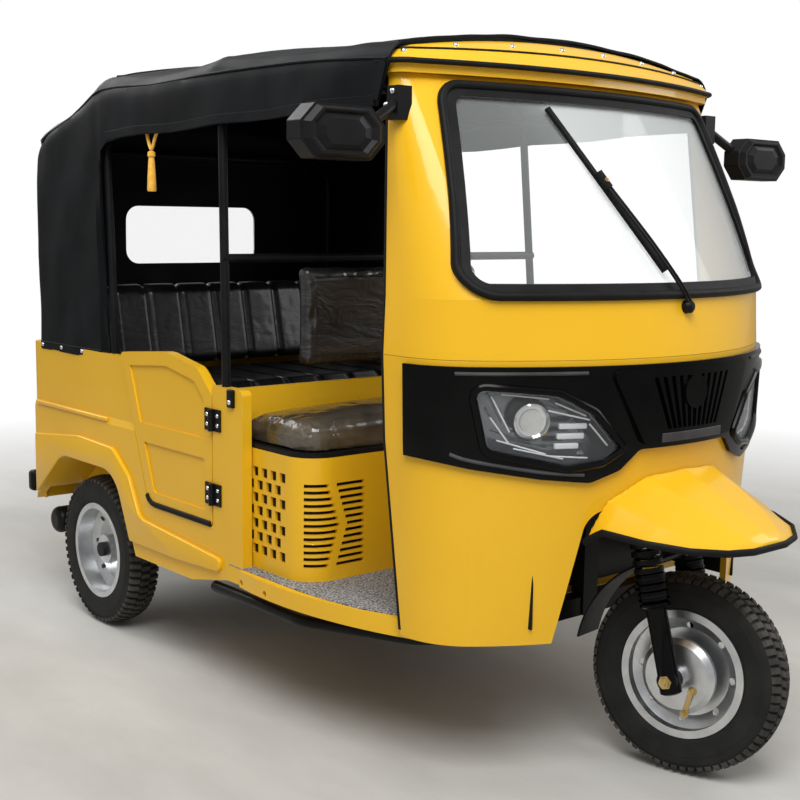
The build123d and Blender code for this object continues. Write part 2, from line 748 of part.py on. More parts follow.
frame = rail + across(rail)
crosses = [(back, RAIL_BOTTOM, FLOOR_BOTTOM) for back in CROSS_BACKS]
crosses += [(back, RAISED_BOTTOM, RAISED_TOP) for back in RAISED_CROSS_BACKS]
for back, bottom, top in crosses:
    y = behind(back)
    frame += block(-RAIL_X, RAIL_X, y - CROSS_DEPTH / 2, y + CROSS_DEPTH / 2, bottom, top)
engine_cross_top = ENGINE_CROSS_BOTTOM + ENGINE_CROSS_HEIGHT
ENGINE_BOTTOM = engine_cross_top + SEAT_GAP
for back in ENGINE_CROSS_BACKS:
    y0 = behind(back) - CROSS_DEPTH / 2
    y1 = behind(back) + CROSS_DEPTH / 2
    frame += block(-RAIL_OUT, RAIL_OUT, y0, y1, ENGINE_CROSS_BOTTOM, engine_cross_top)
    for side in (-1, 1):
        frame += block(side * RAIL_X - RAIL_WIDTH / 2, side * RAIL_X + RAIL_WIDTH / 2, y0, y1,
                       ENGINE_CROSS_BOTTOM, FLOOR_BOTTOM)
neck_rear = behind(NECK_REAR_BACK)
frame += block(-NECK_HALF, NECK_HALF, behind(NECK_FRONT_BACK), neck_rear, RAIL_BOTTOM, NECK_TOP)
frame += block(-NECK_HALF, NECK_HALF, on_axis(HEAD_TUBE_END).Y, neck_rear, NECK_ARM_BOTTOM, NECK_TOP)
frame += rod(on_axis(HEAD_TUBE_START), on_axis(HEAD_TUBE_END), HEAD_TUBE_RADIUS)
frame -= rod(on_axis(YOKE_START), on_axis(COLUMN_END), COLUMN_RADIUS + RUNNING_GAP)
keep("chassis_frame", frame)

# Engine, dash, leg shield and partition
keep("engine_block", block(-ENGINE_HALF, ENGINE_HALF, behind(ENGINE_FRONT_BACK), behind(ENGINE_REAR_BACK),
                           ENGINE_BOTTOM, ENGINE_TOP))
dash_room = block(-FAR, FAR, -FAR, behind(DASH_REAR_BACK), DASH_Z, DASH_Z + DASH_THICKNESS)
keep("dash_panel", upper_cab(-CAB_WALL - SEAT_GAP) & dash_room)
shield_room = block(-FAR, FAR, behind(LEG_SHIELD_BACK), behind(LEG_SHIELD_BACK) + LEG_SHIELD_WALL,
                    FLOOR_BOTTOM, LEG_SHIELD_TOP)
keep("leg_shield", lower_cab(-CAB_WALL - SEAT_GAP) & shield_room)
keep("partition", block(SEAT_GAP - TUB_INNER, TUB_INNER - SEAT_GAP, behind(PARTITION_BACK),
                        behind(PARTITION_BACK) + PARTITION_WALL, FLOOR_TOP, PARTITION_TOP))


# Driver's seat box with its grilles, lid and cushion
def box_face(inset, rear):
    """Plan of the seat box: square at the rear, rounded at the front corners."""
    half = BOX_HALF - inset
    front = behind(BOX_FRONT_BACK) + inset
    rows = [(half, rear, 0), (half, front, BOX_CORNER - inset),
            (-half, front, BOX_CORNER - inset), (-half, rear, 0)]
    return outline(rows)


box_rear = behind(PARTITION_BACK) - SEAT_GAP
seat_box = along_z(box_face(0, box_rear), FLOOR_TOP, BOX_TOP)
seat_box -= along_z(box_face(BOX_WALL, box_rear + BOX_WALL), FLOOR_TOP, BOX_TOP - BOX_WALL)
seat_box -= along_z(box_face(BOX_FLANGE, box_rear - BOX_FLANGE), FLOOR_TOP, BOX_TOP)
hole_cutters = []
for row in range(SIDE_HOLE_ROWS):
    shift = SIDE_HOLE_PITCH_Y / 2 if row % 2 else 0
    hole_z = SIDE_HOLE_BOTTOM + row * SIDE_HOLE_PITCH_Z
    for column in range(SIDE_HOLE_COLUMNS):
        hole_y = behind(SIDE_HOLE_FIRST_BACK) + shift + column * SIDE_HOLE_PITCH_Y
        hole_cutters.append(block(-FAR, FAR, hole_y, hole_y + SIDE_HOLE, hole_z, hole_z + SIDE_HOLE))
louvre_front = behind(BOX_FRONT_BACK) - BOX_WALL
louvre_rear = behind(BOX_FRONT_BACK) + BOX_CORNER / 2
louvre_middle = (LOUVRE_INNER + LOUVRE_OUTER) / 2
for side in (-1, 1):
    for index in range(LOUVRE_COUNT):
        slot_z = LOUVRE_BOTTOM + index * LOUVRE_PITCH
        bend = abs(index - (LOUVRE_COUNT - 1) / 2) / ((LOUVRE_COUNT - 1) / 2)
        gap_x = louvre_middle - LOUVRE_CHEVRON / 2 + LOUVRE_CHEVRON * bend
        for low_x, high_x in ((LOUVRE_INNER, gap_x - LOUVRE_GAP / 2), (gap_x + LOUVRE_GAP / 2, LOUVRE_OUTER)):
            ends = sorted((side * low_x, side * high_x))
            hole_cutters.append(block(*ends, louvre_front, louvre_rear, slot_z, slot_z + LOUVRE_HEIGHT))
seat_box -= hole_cutters
keep("seat_box", seat_box)
lid_bottom = BOX_TOP + SEAT_GAP
lid_top = lid_bottom + LID_THICKNESS
lid_rear = box_rear - DOOR_GAP
keep("seat_lid", along_z(box_face(DOOR_GAP - LID_OVERHANG / 2, lid_rear), lid_bottom, lid_top))
cushion_bottom = lid_top + SEAT_GAP
cushion = along_z(box_face(DOOR_GAP, lid_rear), cushion_bottom, cushion_bottom + CUSHION_EDGE)
crown_low = box_face(DOOR_GAP, lid_rear).wire()
crown_high = box_face(BOX_CORNER - DOOR_GAP, lid_rear - BOX_CORNER).wire()
cushion += ruled_loft([
    crown_low.moved(Pos(0, 0, cushion_bottom + CUSHION_EDGE)),
    crown_high.moved(Pos(0, 0, cushion_bottom + CUSHION_CROWN)),
])
keep("driver_cushion", cushion)

# Rear tub sides with door openings and wheel houses
door_face = outline([(behind(back), z, radius) for back, z, radius in DOOR_OUTLINE])
door_back, door_sill = DOOR_OUTLINE[0][0], DOOR_OUTLINE[0][1]
side_rows = [
    (behind(TUB_FRONT_BACK), FLOOR_TOP - SILL_STRIP_DROP, 0),
    (behind(TUB_FRONT_BACK), PILLAR_TOP, 18),
    (behind(door_back), PILLAR_TOP, 0),
    (behind(door_back), TUB_TOP, 0),
    (behind(TUB_JOINT_BACK), TUB_TOP, 0),
    (behind(TUB_JOINT_BACK), TUB_BOTTOM, 0),
    (REAR_AXLE_Y, TUB_BOTTOM, 0),
    (REAR_AXLE_Y, SKIRT_BOTTOM, 0),
    (behind(SKIRT_LOW_BACK), SKIRT_BOTTOM, 0),
    (behind(PARTITION_BACK), FLOOR_TOP - SILL_STRIP_DROP, 0),
]
tub_side = along_x(outline(side_rows), TUB_INNER, SIDE_X)
arch_face = outline([(REAR_AXLE_Y + back, z, radius) for back, z, radius in WHEEL_ARCH])
arch_hole = along_x(arch_face, TUB_INNER - OVERCUT, FAR)
arch_liner = along_x(offset(arch_face, LINER_WALL, kind=Kind.INTERSECTION), LINER_INNER_X, TUB_INNER + OVERCUT)
arch_liner -= along_x(arch_face, LINER_INNER_X + LINER_WALL, FAR)
arch_liner &= block(0, FAR, -FAR, behind(TUB_JOINT_BACK), LINER_BOTTOM, FAR)
opening_face = offset(door_face, DOOR_GAP, kind=Kind.INTERSECTION)
door_opening = along_x(opening_face, TUB_INNER - PANEL_WALL, FAR)
door_above = outline([
    (behind(door_back) - DOOR_GAP, door_sill + PANEL_WALL, 0),
    (behind(door_back) - DOOR_GAP, FAR, 0),
    (behind(DOOR_OUTLINE[4][0]) + DOOR_GAP, FAR, 0),
    (behind(DOOR_OUTLINE[4][0]) + DOOR_GAP, DOOR_OUTLINE[4][1], 0),
    (behind(DOOR_OUTLINE[6][0]), DOOR_OUTLINE[6][1], 0),
])
crease_rows = [
    (SIDE_X, CREASE_Z, 0),
    (SIDE_X - CREASE_STEP, CREASE_Z + CREASE_SLOPE, 0),
    (SIDE_X - CREASE_STEP, FAR, 0),
    (FAR, FAR, 0),
    (FAR, CREASE_Z, 0),
]
crease_cut = along_y(outline(crease_rows), behind(DOOR_OUTLINE[6][0]), FAR)
tub_side = tub_side - arch_hole - door_opening - along_x(door_above, TUB_INNER - PANEL_WALL, FAR) - crease_cut
tub_side += arch_liner
keep("tub_side_left", tub_side)
keep("tub_side_right", across(tub_side))


# Rear of the tub, wrapped round both corners
def tub_wire(inset, z):
    """Plan of the tub's rear corners."""
    half = SIDE_X - inset
    rear = behind(TUB_REAR_BACK) - inset
    radius = max(TUB_CORNER - inset, TUB_CORNER / 3)
    rows = [(half, 0, 0), (half, rear, radius), (-half, rear, radius), (-half, 0, 0)]
    return outline(rows).wire().moved(Pos(0, 0, z))


def tub_slab(inset, z0, z1):
    """The tub's plan between two heights."""
    return ruled_loft([tub_wire(inset, z0), tub_wire(inset, z1)])


crease_band = ruled_loft([tub_wire(0, CREASE_Z), tub_wire(CREASE_STEP, CREASE_Z + CREASE_SLOPE)])
tub_rear = tub_slab(0, TUB_BOTTOM, CREASE_Z) + crease_band
tub_rear += tub_slab(CREASE_STEP, CREASE_Z + CREASE_SLOPE, TUB_TOP)
tub_rear -= tub_slab(PANEL_WALL, TUB_BOTTOM, TUB_TOP)
tub_rear &= block(-FAR, FAR, behind(TUB_JOINT_BACK) + SEAT_GAP, FAR, 0, FAR)
tub_rear = tub_rear - arch_hole - across(arch_hole)
keep("tub_rear", tub_rear)
lamp_x = (TAIL_LAMP_X - TAIL_LAMP_WIDTH / 2, TAIL_LAMP_X + TAIL_LAMP_WIDTH / 2)
lamp_z = (TAIL_LAMP_Z - TAIL_LAMP_HEIGHT / 2, TAIL_LAMP_Z + TAIL_LAMP_HEIGHT / 2)
tail_lamp = block(*lamp_x, behind(TUB_REAR_BACK) + SEAT_GAP, behind(TUB_REAR_BACK) + TAIL_LAMP_PROUD, *lamp_z)
tail_lamp = fillet(tail_lamp.faces().sort_by(Axis.Y)[-1].edges(), TAIL_LAMP_PROUD / 3)
keep("tail_lamps", tail_lamp, across(tail_lamp))

# Rear floor, bench and its cushions
rear_floor = block(SEAT_GAP - LINER_INNER_X, LINER_INNER_X - SEAT_GAP, behind(RAIL_KICK_END_BACK),
                   behind(TUB_REAR_BACK) - PANEL_WALL - SEAT_GAP, RAISED_TOP, RAISED_TOP + REAR_FLOOR_THICKNESS)
keep("rear_floor", rear_floor)
bench_rear = behind(BENCH_CUSHION_REAR_BACK)
bench_front = behind(BENCH_FRONT_BACK)
floor_end = behind(FLOOR_REAR_BACK)
bench = block(-BENCH_HALF, BENCH_HALF, bench_front, bench_rear, BENCH_TOP - BENCH_WALL, BENCH_TOP)
bench += block(-BENCH_HALF, BENCH_HALF, bench_front, floor_end, FLOOR_TOP, BENCH_TOP)
bench += block(SEAT_GAP - LINER_INNER_X, LINER_INNER_X - SEAT_GAP, bench_rear - BENCH_WALL, bench_rear,
               RAISED_TOP + REAR_FLOOR_THICKNESS, BENCH_TOP)
keep("bench_base", bench)
cushion_z = BENCH_TOP + SEAT_GAP
bench_cushion = block(-BENCH_HALF, BENCH_HALF, behind(BENCH_FRONT_BACK) - BENCH_WALL, bench_rear,
                      cushion_z, cushion_z + BENCH_CUSHION)
keep("bench_cushion", fillet(bench_cushion.edges(), BENCH_ROUND))
back_z = cushion_z + BENCH_CUSHION + SEAT_GAP
back_y = bench_rear - BENCH_BACK_THICKNESS
back_rows = [
    (back_y, back_z, BENCH_ROUND),
    (back_y + BENCH_BACK_LEAN, BENCH_BACK_TOP, BENCH_ROUND),
    (back_y + BENCH_BACK_LEAN + BENCH_BACK_THICKNESS, BENCH_BACK_TOP, BENCH_ROUND),
    (back_y + BENCH_BACK_THICKNESS, back_z, BENCH_ROUND),
]
keep("bench_back", along_x(outline(back_rows), -BENCH_HALF, BENCH_HALF))


# Hood frame: three bent bows, straight rails between them and a bar for the driver's backrest
def bow(foot_half, foot_back, foot_z, top_half, top_back, top_z, radius):
    """A bow of bent tube, standing on both sides of the tub."""
    points = [
        (-foot_half, behind(foot_back), foot_z - radius),
        (-top_half, behind(top_back), top_z),
        (top_half, behind(top_back), top_z),
        (foot_half, behind(foot_back), foot_z - radius),
    ]
    return bent_tube(points, BOW_BEND, radius) - block(-FAR, FAR, -FAR, FAR, 0, foot_z)


pole_foot_z = PILLAR_TOP + SEAT_GAP
bow_foot_z = TUB_TOP + SEAT_GAP
bow_rows = [
    # foot half width, foot back, foot height, top half width, top back, top height
    (POLE_BASE_HALF, POLE_BASE_BACK, pole_foot_z, POLE_TOP_HALF, POLE_TOP_BACK, BOW_TOP_Z),
    (REAR_BOW_FOOT_HALF, REAR_BOW_FOOT_BACK, bow_foot_z, POLE_TOP_HALF, REAR_BOW_TOP_BACK, REAR_BOW_TOP_Z),
    (REAR_BOW_FOOT_HALF, TAIL_BOW_FOOT_BACK, bow_foot_z, POLE_TOP_HALF, TAIL_BOW_BACK, TAIL_BOW_TOP_Z),
]
bows = [bow(*row, HOOD_TUBE_RADIUS) for row in bow_rows]
fat_bows = [bow(*row, HOOD_TUBE_RADIUS + SEAT_GAP) for row in bow_rows]
keep("hood_bows", *bows)
cab_rear = behind(CAB_SECTIONS[-1][5]) + SEAT_GAP
hood_rail = rod((HOOD_RAIL_HALF, cab_rear, HOOD_RAIL_Z),
                (HOOD_RAIL_HALF, behind(REAR_BOW_TOP_BACK), HOOD_RAIL_Z), HOOD_TUBE_RADIUS)
pole_share = (BAR_Z - PILLAR_TOP) / (BOW_TOP_Z - PILLAR_TOP)
bar_y = behind(POLE_BASE_BACK + (POLE_TOP_BACK - POLE_BASE_BACK) * pole_share)
bar = rod((-POLE_BASE_HALF, bar_y, BAR_Z), (POLE_BASE_HALF, bar_y, BAR_Z), HOOD_TUBE_RADIUS)
straight_tubes = hood_rail + across(hood_rail) + bar
for fat_bow in fat_bows[:2]:
    straight_tubes -= fat_bow
inside_bows = [solid for solid in straight_tubes.solids() if abs(solid.center().X) < POLE_TOP_HALF]
keep("hood_rails", *inside_bows)
rest_top = BAR_Z - HOOD_TUBE_RADIUS - SEAT_GAP
backrest = block(-BACKREST_HALF, BACKREST_HALF, bar_y - BACKREST_THICKNESS / 2, bar_y + BACKREST_THICKNESS / 2,
                 BACKREST_BOTTOM, rest_top)
keep("driver_backrest", fillet(backrest.edges(), BACKREST_ROUND))


# Canvas hood and its rear window
def canvas_wire(back, half, edge, crown, radius, bottom, inset):
    """Cross section of the hood: straight sides, rounded edges and an arched roof."""
    y = behind(back)
    half = half - inset
    edge = edge - inset
    crown = crown - inset
    radius = radius - inset
    bend = radius * (1 - math.sqrt(0.5))
    edges = [
        Line((-half, y, bottom), (-half, y, edge - radius)),
        ThreePointArc((-half, y, edge - radius), (bend - half, y, edge - bend), (radius - half, y, edge)),
        ThreePointArc((radius - half, y, edge), (0, y, crown), (half - radius, y, edge)),
        ThreePointArc((half - radius, y, edge), (half - bend, y, edge - bend), (half, y, edge - radius)),
        Line((half, y, edge - radius), (half, y, bottom)),
        Line((half, y, bottom), (-half, y, bottom)),
    ]
    return Wire(edges)


canvas_bottom = TUB_TOP + SEAT_GAP
outer_wires = [canvas_wire(*row, canvas_bottom, 0) for row in CANVAS_SECTIONS]
inner_rows = [list(row) for row in CANVAS_SECTIONS]
inner_rows[0][0] -= CANVAS_WALL
inner_rows[-1][0] -= CANVAS_WALL
inner_wires = [canvas_wire(*row, canvas_bottom - CANVAS_WALL, CANVAS_WALL) for row in inner_rows]
canvas = ruled_loft(outer_wires) - ruled_loft(inner_wires)
side_opening = outline([
    (behind(0), 0, 0),
    (behind(0), VALANCE_FRONT_Z, 0),
    (behind(CANVAS_FRONT_BACK), VALANCE_FRONT_Z, 0),
    (behind(OPENING_REAR_TOP_BACK), VALANCE_REAR_Z, OPENING_CORNER),
    (behind(OPENING_REAR_FOOT_BACK), canvas_bottom, 0),
    (behind(OPENING_REAR_FOOT_BACK), 0, 0),
])
cap_rear = behind(CAP_REAR_BACK) + SEAT_GAP
cap_room = block(-FAR, FAR, -FAR, cap_rear, CAB_TOP - CANVAS_WALL, FAR)
window_rows = [
    (WINDOW_HALF, WINDOW_TOP, WINDOW_CORNER),
    (WINDOW_HALF, WINDOW_BOTTOM, WINDOW_CORNER),
]
window_face = mirrored_outline(window_rows)
window_front = behind(CANVAS_SECTIONS[-1][0]) - CANVAS_WALL
window_hole = along_y(window_face, window_front - CANVAS_WALL, FAR)
keep("canopy", canvas - along_x(side_opening, -FAR, FAR) - cap_room - window_hole)
pane = along_y(offset(window_face, -SEAT_GAP), window_front, behind(CANVAS_SECTIONS[-1][0]))
keep("rear_window", pane)

# Doors, with stamped recesses, and their hinges
hinge_x = SIDE_X + DOOR_HINGE_OUT
hinge_y = behind(DOOR_HINGE_BACK)
leaf_x = (SIDE_X, SIDE_X + HINGE_LEAF)
door = along_x(door_face, TUB_INNER, SIDE_X)
recess_face = offset(door_face, -DOOR_RECESS_MARGIN)
recess = along_x(recess_face, SIDE_X - DOOR_PANEL_RECESS, FAR)
recess -= block(0, FAR, -FAR, FAR, DOOR_RIB_Z - DOOR_RIB / 2, DOOR_RIB_Z + DOOR_RIB / 2)
door -= recess
fixed_leaves = []
moving_leaves = []
third = HINGE_LENGTH / 6
for middle in HINGE_HEIGHTS:
    low = middle - HINGE_LENGTH / 2
    high = middle + HINGE_LENGTH / 2
    barrel = rod((hinge_x, hinge_y, low), (hinge_x, hinge_y, high), HINGE_KNUCKLE)
    pin = rod((hinge_x, hinge_y, low), (hinge_x, hinge_y, high), HINGE_PIN)
    eye = rod((hinge_x, hinge_y, low), (hinge_x, hinge_y, high), HINGE_PIN + RUNNING_GAP)
    room = rod((hinge_x, hinge_y, low), (hinge_x, hinge_y, high), HINGE_KNUCKLE + HINGE_AXIAL_GAP)
    inner = block(0, FAR, -FAR, FAR, middle - third, middle + third)
    inner_room = block(0, FAR, -FAR, FAR, middle - third - HINGE_AXIAL_GAP, middle + third + HINGE_AXIAL_GAP)
    fixed = block(*leaf_x, hinge_y - HINGE_LEAF_REACH, hinge_y, low, high) + barrel - (room & inner_room) + pin
    moving = block(*leaf_x, hinge_y, hinge_y + HINGE_LEAF_REACH, low, high) - (room - inner)
    moving = moving + (barrel & inner) - eye
    fixed_leaves.append(fixed)
    moving_leaves.append(moving)
keep("door_hinges", *fixed_leaves, *[across(leaf) for leaf in fixed_leaves])
for name, turn in (("left", lambda shape: shape), ("right", across)):
    keep("door_" + name, turn(door))
    keep("door_leaves_" + name, *[turn(leaf) for leaf in moving_leaves])


# Wheels
def tyre(x, y):
    """A road tyre on its rim seat."""
    inner_half = RIM_WIDTH / 2 - RIM_FLANGE - SEAT_GAP
    seat = RIM_SEAT_RADIUS + SEAT_GAP
    wall_radius = RIM_RADIUS + SEAT_GAP
    shoulder = TYRE_RADIUS - TREAD_DROP
    middle = (shoulder + wall_radius) / 2
    half = TREAD_WIDTH / 2
    edges = [
        Line((-inner_half, seat), (inner_half, seat)),
        Line((inner_half, seat), (inner_half, wall_radius)),
        ThreePointArc((inner_half, wall_radius), (TYRE_WIDTH / 2, middle), (half, shoulder)),
        ThreePointArc((half, shoulder), (0, TYRE_RADIUS), (-half, shoulder)),
        ThreePointArc((-half, shoulder), (-TYRE_WIDTH / 2, middle), (-inner_half, wall_radius)),
        Line((-inner_half, wall_radius), (-inner_half, seat)),
    ]
    return Pos(x, y, TYRE_RADIUS) * revolve(make_face(edges), axis=Axis.X)


def rim(outward, x, y, disc, hub_inner, hub_outer, bore):
    """A pressed rim with its disc and hub; disc is how far the plate sits outward of the middle."""
    edge = RIM_WIDTH / 2
    lip = edge - RIM_FLANGE
    well = RIM_SEAT_RADIUS - RIM_WALL
    profile = [
        (-edge, well), (-edge, RIM_RADIUS), (-lip, RIM_RADIUS), (-lip, RIM_SEAT_RADIUS),
        (lip, RIM_SEAT_RADIUS), (lip, RIM_RADIUS), (edge, RIM_RADIUS), (edge, well),
        (disc + DISC_WALL / 2 + DISC_DISH, well), (disc + DISC_WALL / 2, DISC_FLAT),
        (disc + DISC_WALL / 2, HUB_RADIUS), (hub_outer, HUB_RADIUS), (hub_outer, bore),
        (-hub_inner, bore), (-hub_inner, HUB_RADIUS), (disc - DISC_WALL / 2, HUB_RADIUS),
        (disc - DISC_WALL / 2, DISC_FLAT), (disc - DISC_WALL / 2 + DISC_DISH, well),
    ]
    turned = revolve(make_face(Polyline(*profile, close=True)), axis=Axis.X)
    if outward < 0:
        turned = across(turned)
    for index in range(DISC_HOLES):
        angle = 360 / DISC_HOLES * index
        hole = rod((-FAR, 0, DISC_HOLE_CIRCLE), (FAR, 0, DISC_HOLE_CIRCLE), DISC_HOLE_RADIUS)
        turned -= Rot(angle, 0, 0) * hole
    return Pos(x, y, TYRE_RADIUS) * turned


hub_half = FRONT_HUB_LENGTH / 2
front_rim = rim(-1, 0, FRONT_AXLE_Y, FRONT_DISC_OFFSET, hub_half, hub_half, FRONT_AXLE_RADIUS + RUNNING_GAP)
keep("front_rim", steered(front_rim))
keep("front_tyre", steered(tyre(0, FRONT_AXLE_Y)))
for name, side in (("right", -1), ("left", 1)):
    wheel_x = side * REAR_TRACK / 2
    keep("rear_tyre_" + name, tyre(wheel_x, REAR_AXLE_Y))
    keep("rear_rim_" + name, rim(side, wheel_x, REAR_AXLE_Y, REAR_DISC_OFFSET, REAR_HUB_INNER,
                                 REAR_HUB_OUTER, SPINDLE_RADIUS + RUNNING_GAP))

# Rear axle with its drive, springs, silencer and bumper
hub_inner_x = REAR_TRACK / 2 - REAR_HUB_INNER - SEAT_GAP
hub_outer_x = REAR_TRACK / 2 + REAR_HUB_OUTER + SEAT_GAP
axle_line = (REAR_AXLE_Y, TYRE_RADIUS)
axle = rod((-hub_inner_x, *axle_line), (hub_inner_x, *axle_line), AXLE_TUBE_RADIUS)
axle += rod((-hub_outer_x, *axle_line), (hub_outer_x, *axle_line), SPINDLE_RADIUS)
for side in (-1, 1):
    axle += rod((side * hub_outer_x, *axle_line), (side * (hub_outer_x + NUT_LENGTH), *axle_line), NUT_RADIUS)
diff = rod((-DIFF_WIDTH / 2, *axle_line), (DIFF_WIDTH / 2, *axle_line), DIFF_RADIUS)
axle += fillet(diff.edges().filter_by(GeomType.CIRCLE), DIFF_WIDTH / 4)
shaft_z = ENGINE_BOTTOM + SHAFT_RADIUS
axle += rod((0, behind(ENGINE_REAR_BACK) - SHAFT_RADIUS, shaft_z), (0, *axle_line), SHAFT_RADIUS)
axle -= block(-SHAFT_RADIUS, SHAFT_RADIUS, -FAR, behind(ENGINE_REAR_BACK) + SEAT_GAP, 0, FAR)
keep("rear_axle", axle)


def leaf(level, share):
    """One curved spring leaf, seen from the side."""
    seat = TYRE_RADIUS + AXLE_TUBE_RADIUS + SEAT_GAP + level * SPRING_LEAF
    front = REAR_AXLE_Y - SPRING_HALF * share
    rear = REAR_AXLE_Y + SPRING_HALF * share
    end = seat + SPRING_CAMBER * share ** 2
    low = ThreePointArc((front, end), (REAR_AXLE_Y, seat), (rear, end))
    high = ThreePointArc((rear, end + SPRING_LEAF), (REAR_AXLE_Y, seat + SPRING_LEAF), (front, end + SPRING_LEAF))
    face = make_face([low, Line(low @ 1, high @ 0), high, Line(high @ 1, low @ 0)])
    return along_x(face, SPRING_X - SPRING_WIDTH / 2, SPRING_X + SPRING_WIDTH / 2)


spring = leaf(SPRING_LEAVES - 1, 1)
for level in range(SPRING_LEAVES - 1):
    spring += leaf(level, (level + 2) / (SPRING_LEAVES + 1))
for end in (-1, 1):
    eye_at = (REAR_AXLE_Y + end * SPRING_HALF, spring_eye_z)
    start_x = SPRING_X - SPRING_WIDTH / 2
    spring += rod((start_x, *eye_at), (start_x + SPRING_WIDTH, *eye_at), SPRING_EYE)
    spring -= rod((0, *eye_at), (FAR, *eye_at), SPRING_PIN + SEAT_GAP)
keep("leaf_springs", spring, across(spring))
silencer_at = (behind(SILENCER_BACK), SILENCER_Z)
silencer = rod((-SILENCER_OUTER_X, *silencer_at), (-SILENCER_INNER_X, *silencer_at), SILENCER_RADIUS)
silencer = fillet(silencer.edges().filter_by(GeomType.CIRCLE), SILENCER_RADIUS / 2)
stay_corner = (-RAIL_X, *silencer_at)
silencer += rod((-SILENCER_OUTER_X + SILENCER_RADIUS, *silencer_at), stay_corner, STAY_RADIUS)
silencer += rod(stay_corner, (-RAIL_X, behind(SILENCER_BACK), HANGER_BOTTOM - SEAT_GAP), STAY_RADIUS)
keep("silencer", silencer)
bumper = block(-BUMPER_HALF, BUMPER_HALF, bumper_front, behind(BUMPER_REAR_BACK),
               BUMPER_Z - BUMPER_HEIGHT / 2, BUMPER_Z + BUMPER_HEIGHT / 2)
keep("rear_bumper", fillet(bumper.edges(), BUMPER_DEPTH / 3))

# Mirrors on the cab sides
corner_x = MIRROR_HALF_WIDTH - MIRROR_CHAMFER
corner_z = MIRROR_HALF_HEIGHT - MIRROR_CHAMFER
octagon = [
    (-MIRROR_HALF_WIDTH, -corner_z), (-MIRROR_HALF_WIDTH, corner_z),
    (-corner_x, MIRROR_HALF_HEIGHT), (corner_x, MIRROR_HALF_HEIGHT),
    (MIRROR_HALF_WIDTH, corner_z), (MIRROR_HALF_WIDTH, -corner_z),
    (corner_x, -MIRROR_HALF_HEIGHT), (-corner_x, -MIRROR_HALF_HEIGHT),
]
head_face = outline([(MIRROR_HEAD_X + x, MIRROR_HEAD_Z + z, MIRROR_CORNER) for x, z in octagon])
head_y = behind(MIRROR_HEAD_BACK)
mirror_head = along_y(head_face, head_y - MIRROR_DEPTH / 2, head_y + MIRROR_DEPTH / 2)
cab_half = CAB_SECTIONS[-1][1]
root_y = behind(MIRROR_ROOT_BACK)
arm_root = (cab_half + MIRROR_ARM_RADIUS, root_y, MIRROR_ROOT_Z)
arm_end = (MIRROR_HEAD_X - MIRROR_HALF_WIDTH / 2, head_y, MIRROR_HEAD_Z)
arm = rod(arm_root, arm_end, MIRROR_ARM_RADIUS)
foot = block(cab_half - CAB_WALL, cab_half + 2 * MIRROR_ARM_RADIUS, root_y - MIRROR_FOOT / 2,
             root_y + MIRROR_FOOT / 2, MIRROR_ROOT_Z - MIRROR_FOOT, MIRROR_ROOT_Z + MIRROR_FOOT)
wing = mirror_head + arm + foot - upper_cab(SEAT_GAP, FAR)
keep("mirrors", wing, across(wing))


# Wiper
def cab_front_y(x, z):
    """Y of the upper cab's front surface at the given place."""
    low, high = CAB_SECTIONS[3], CAB_SECTIONS[4]
    if z < low[0]:
        low, high = CAB_SECTIONS[2], CAB_SECTIONS[3]
    share = (z - low[0]) / (high[0] - low[0])
    nose = low[2] + (high[2] - low[2]) * share
    radius = low[3] + (high[3] - low[3]) * share
    return behind(nose + radius - math.sqrt(radius ** 2 - x ** 2))


wiper_points = []
wiper_rows = [
    # half width, height, distance off the cab's front
    (0, WIPER_PIVOT_Z, WIPER_PIVOT_OFF),
    (WIPER_ELBOW_X, WIPER_ELBOW_Z, WIPER_OFF),
    (WIPER_TIP_X, WIPER_TIP_Z, WIPER_OFF),
]
for x, z, off in wiper_rows:
    wiper_points.append((x, cab_front_y(x, z) - off, z))
pivot_y = cab_front_y(0, WIPER_PIVOT_Z)
wiper = rod((0, pivot_y + WIPER_RADIUS, WIPER_PIVOT_Z),
            (0, pivot_y - WIPER_PIVOT_OFF - WIPER_RADIUS / 2, WIPER_PIVOT_Z), WIPER_RADIUS)
wiper += bent_tube(wiper_points, WIPER_RADIUS, WIPER_BAR_RADIUS)
keep("wiper", wiper - upper_cab(SEAT_GAP))

# Fork, front axle, brake plate, inner guard and handlebar
fork = rod(on_axis(YOKE_START), on_axis(COLUMN_END), COLUMN_RADIUS)
yoke_plane = Plane(origin=on_leg(0, YOKE_START), x_dir=(1, 0, 0), z_dir=AXIS_DIR)
yoke_half = FORK_HALF_SPAN + BOOT_RADIUS
yoke_rows = [
    (-yoke_half, -BOOT_RADIUS, YOKE_CORNER),
    (yoke_half, -BOOT_RADIUS, YOKE_CORNER),
    (yoke_half, YOKE_DEPTH - BOOT_RADIUS, YOKE_CORNER),
    (-yoke_half, YOKE_DEPTH - BOOT_RADIUS, YOKE_CORNER),
]
fork += extrude(yoke_plane * outline(yoke_rows), YOKE_THICKNESS)
boot_pitch = (BOOT_END - BOOT_START) / BOOT_RIBS
for side in (-1, 1):
    leg_x = side * FORK_HALF_SPAN
    fork += rod(on_leg(leg_x, 0), on_leg(leg_x, YOKE_START + OVERCUT), FORK_LEG_RADIUS)
    fork += rod(on_leg(leg_x - FORK_EYE_WIDTH / 2, 0), on_leg(leg_x + FORK_EYE_WIDTH / 2, 0), FORK_EYE_RADIUS)
    for index in range(BOOT_RIBS):
        start = BOOT_START + index * boot_pitch
        fork += rod(on_leg(leg_x, start), on_leg(leg_x, start + boot_pitch * BOOT_RIB_SHARE), BOOT_RADIUS)
axle_half = FORK_HALF_SPAN + FORK_EYE_WIDTH
fork -= rod(on_leg(-axle_half, 0), on_leg(axle_half, 0), FRONT_AXLE_RADIUS + SEAT_GAP)
keep("fork", steered(fork))
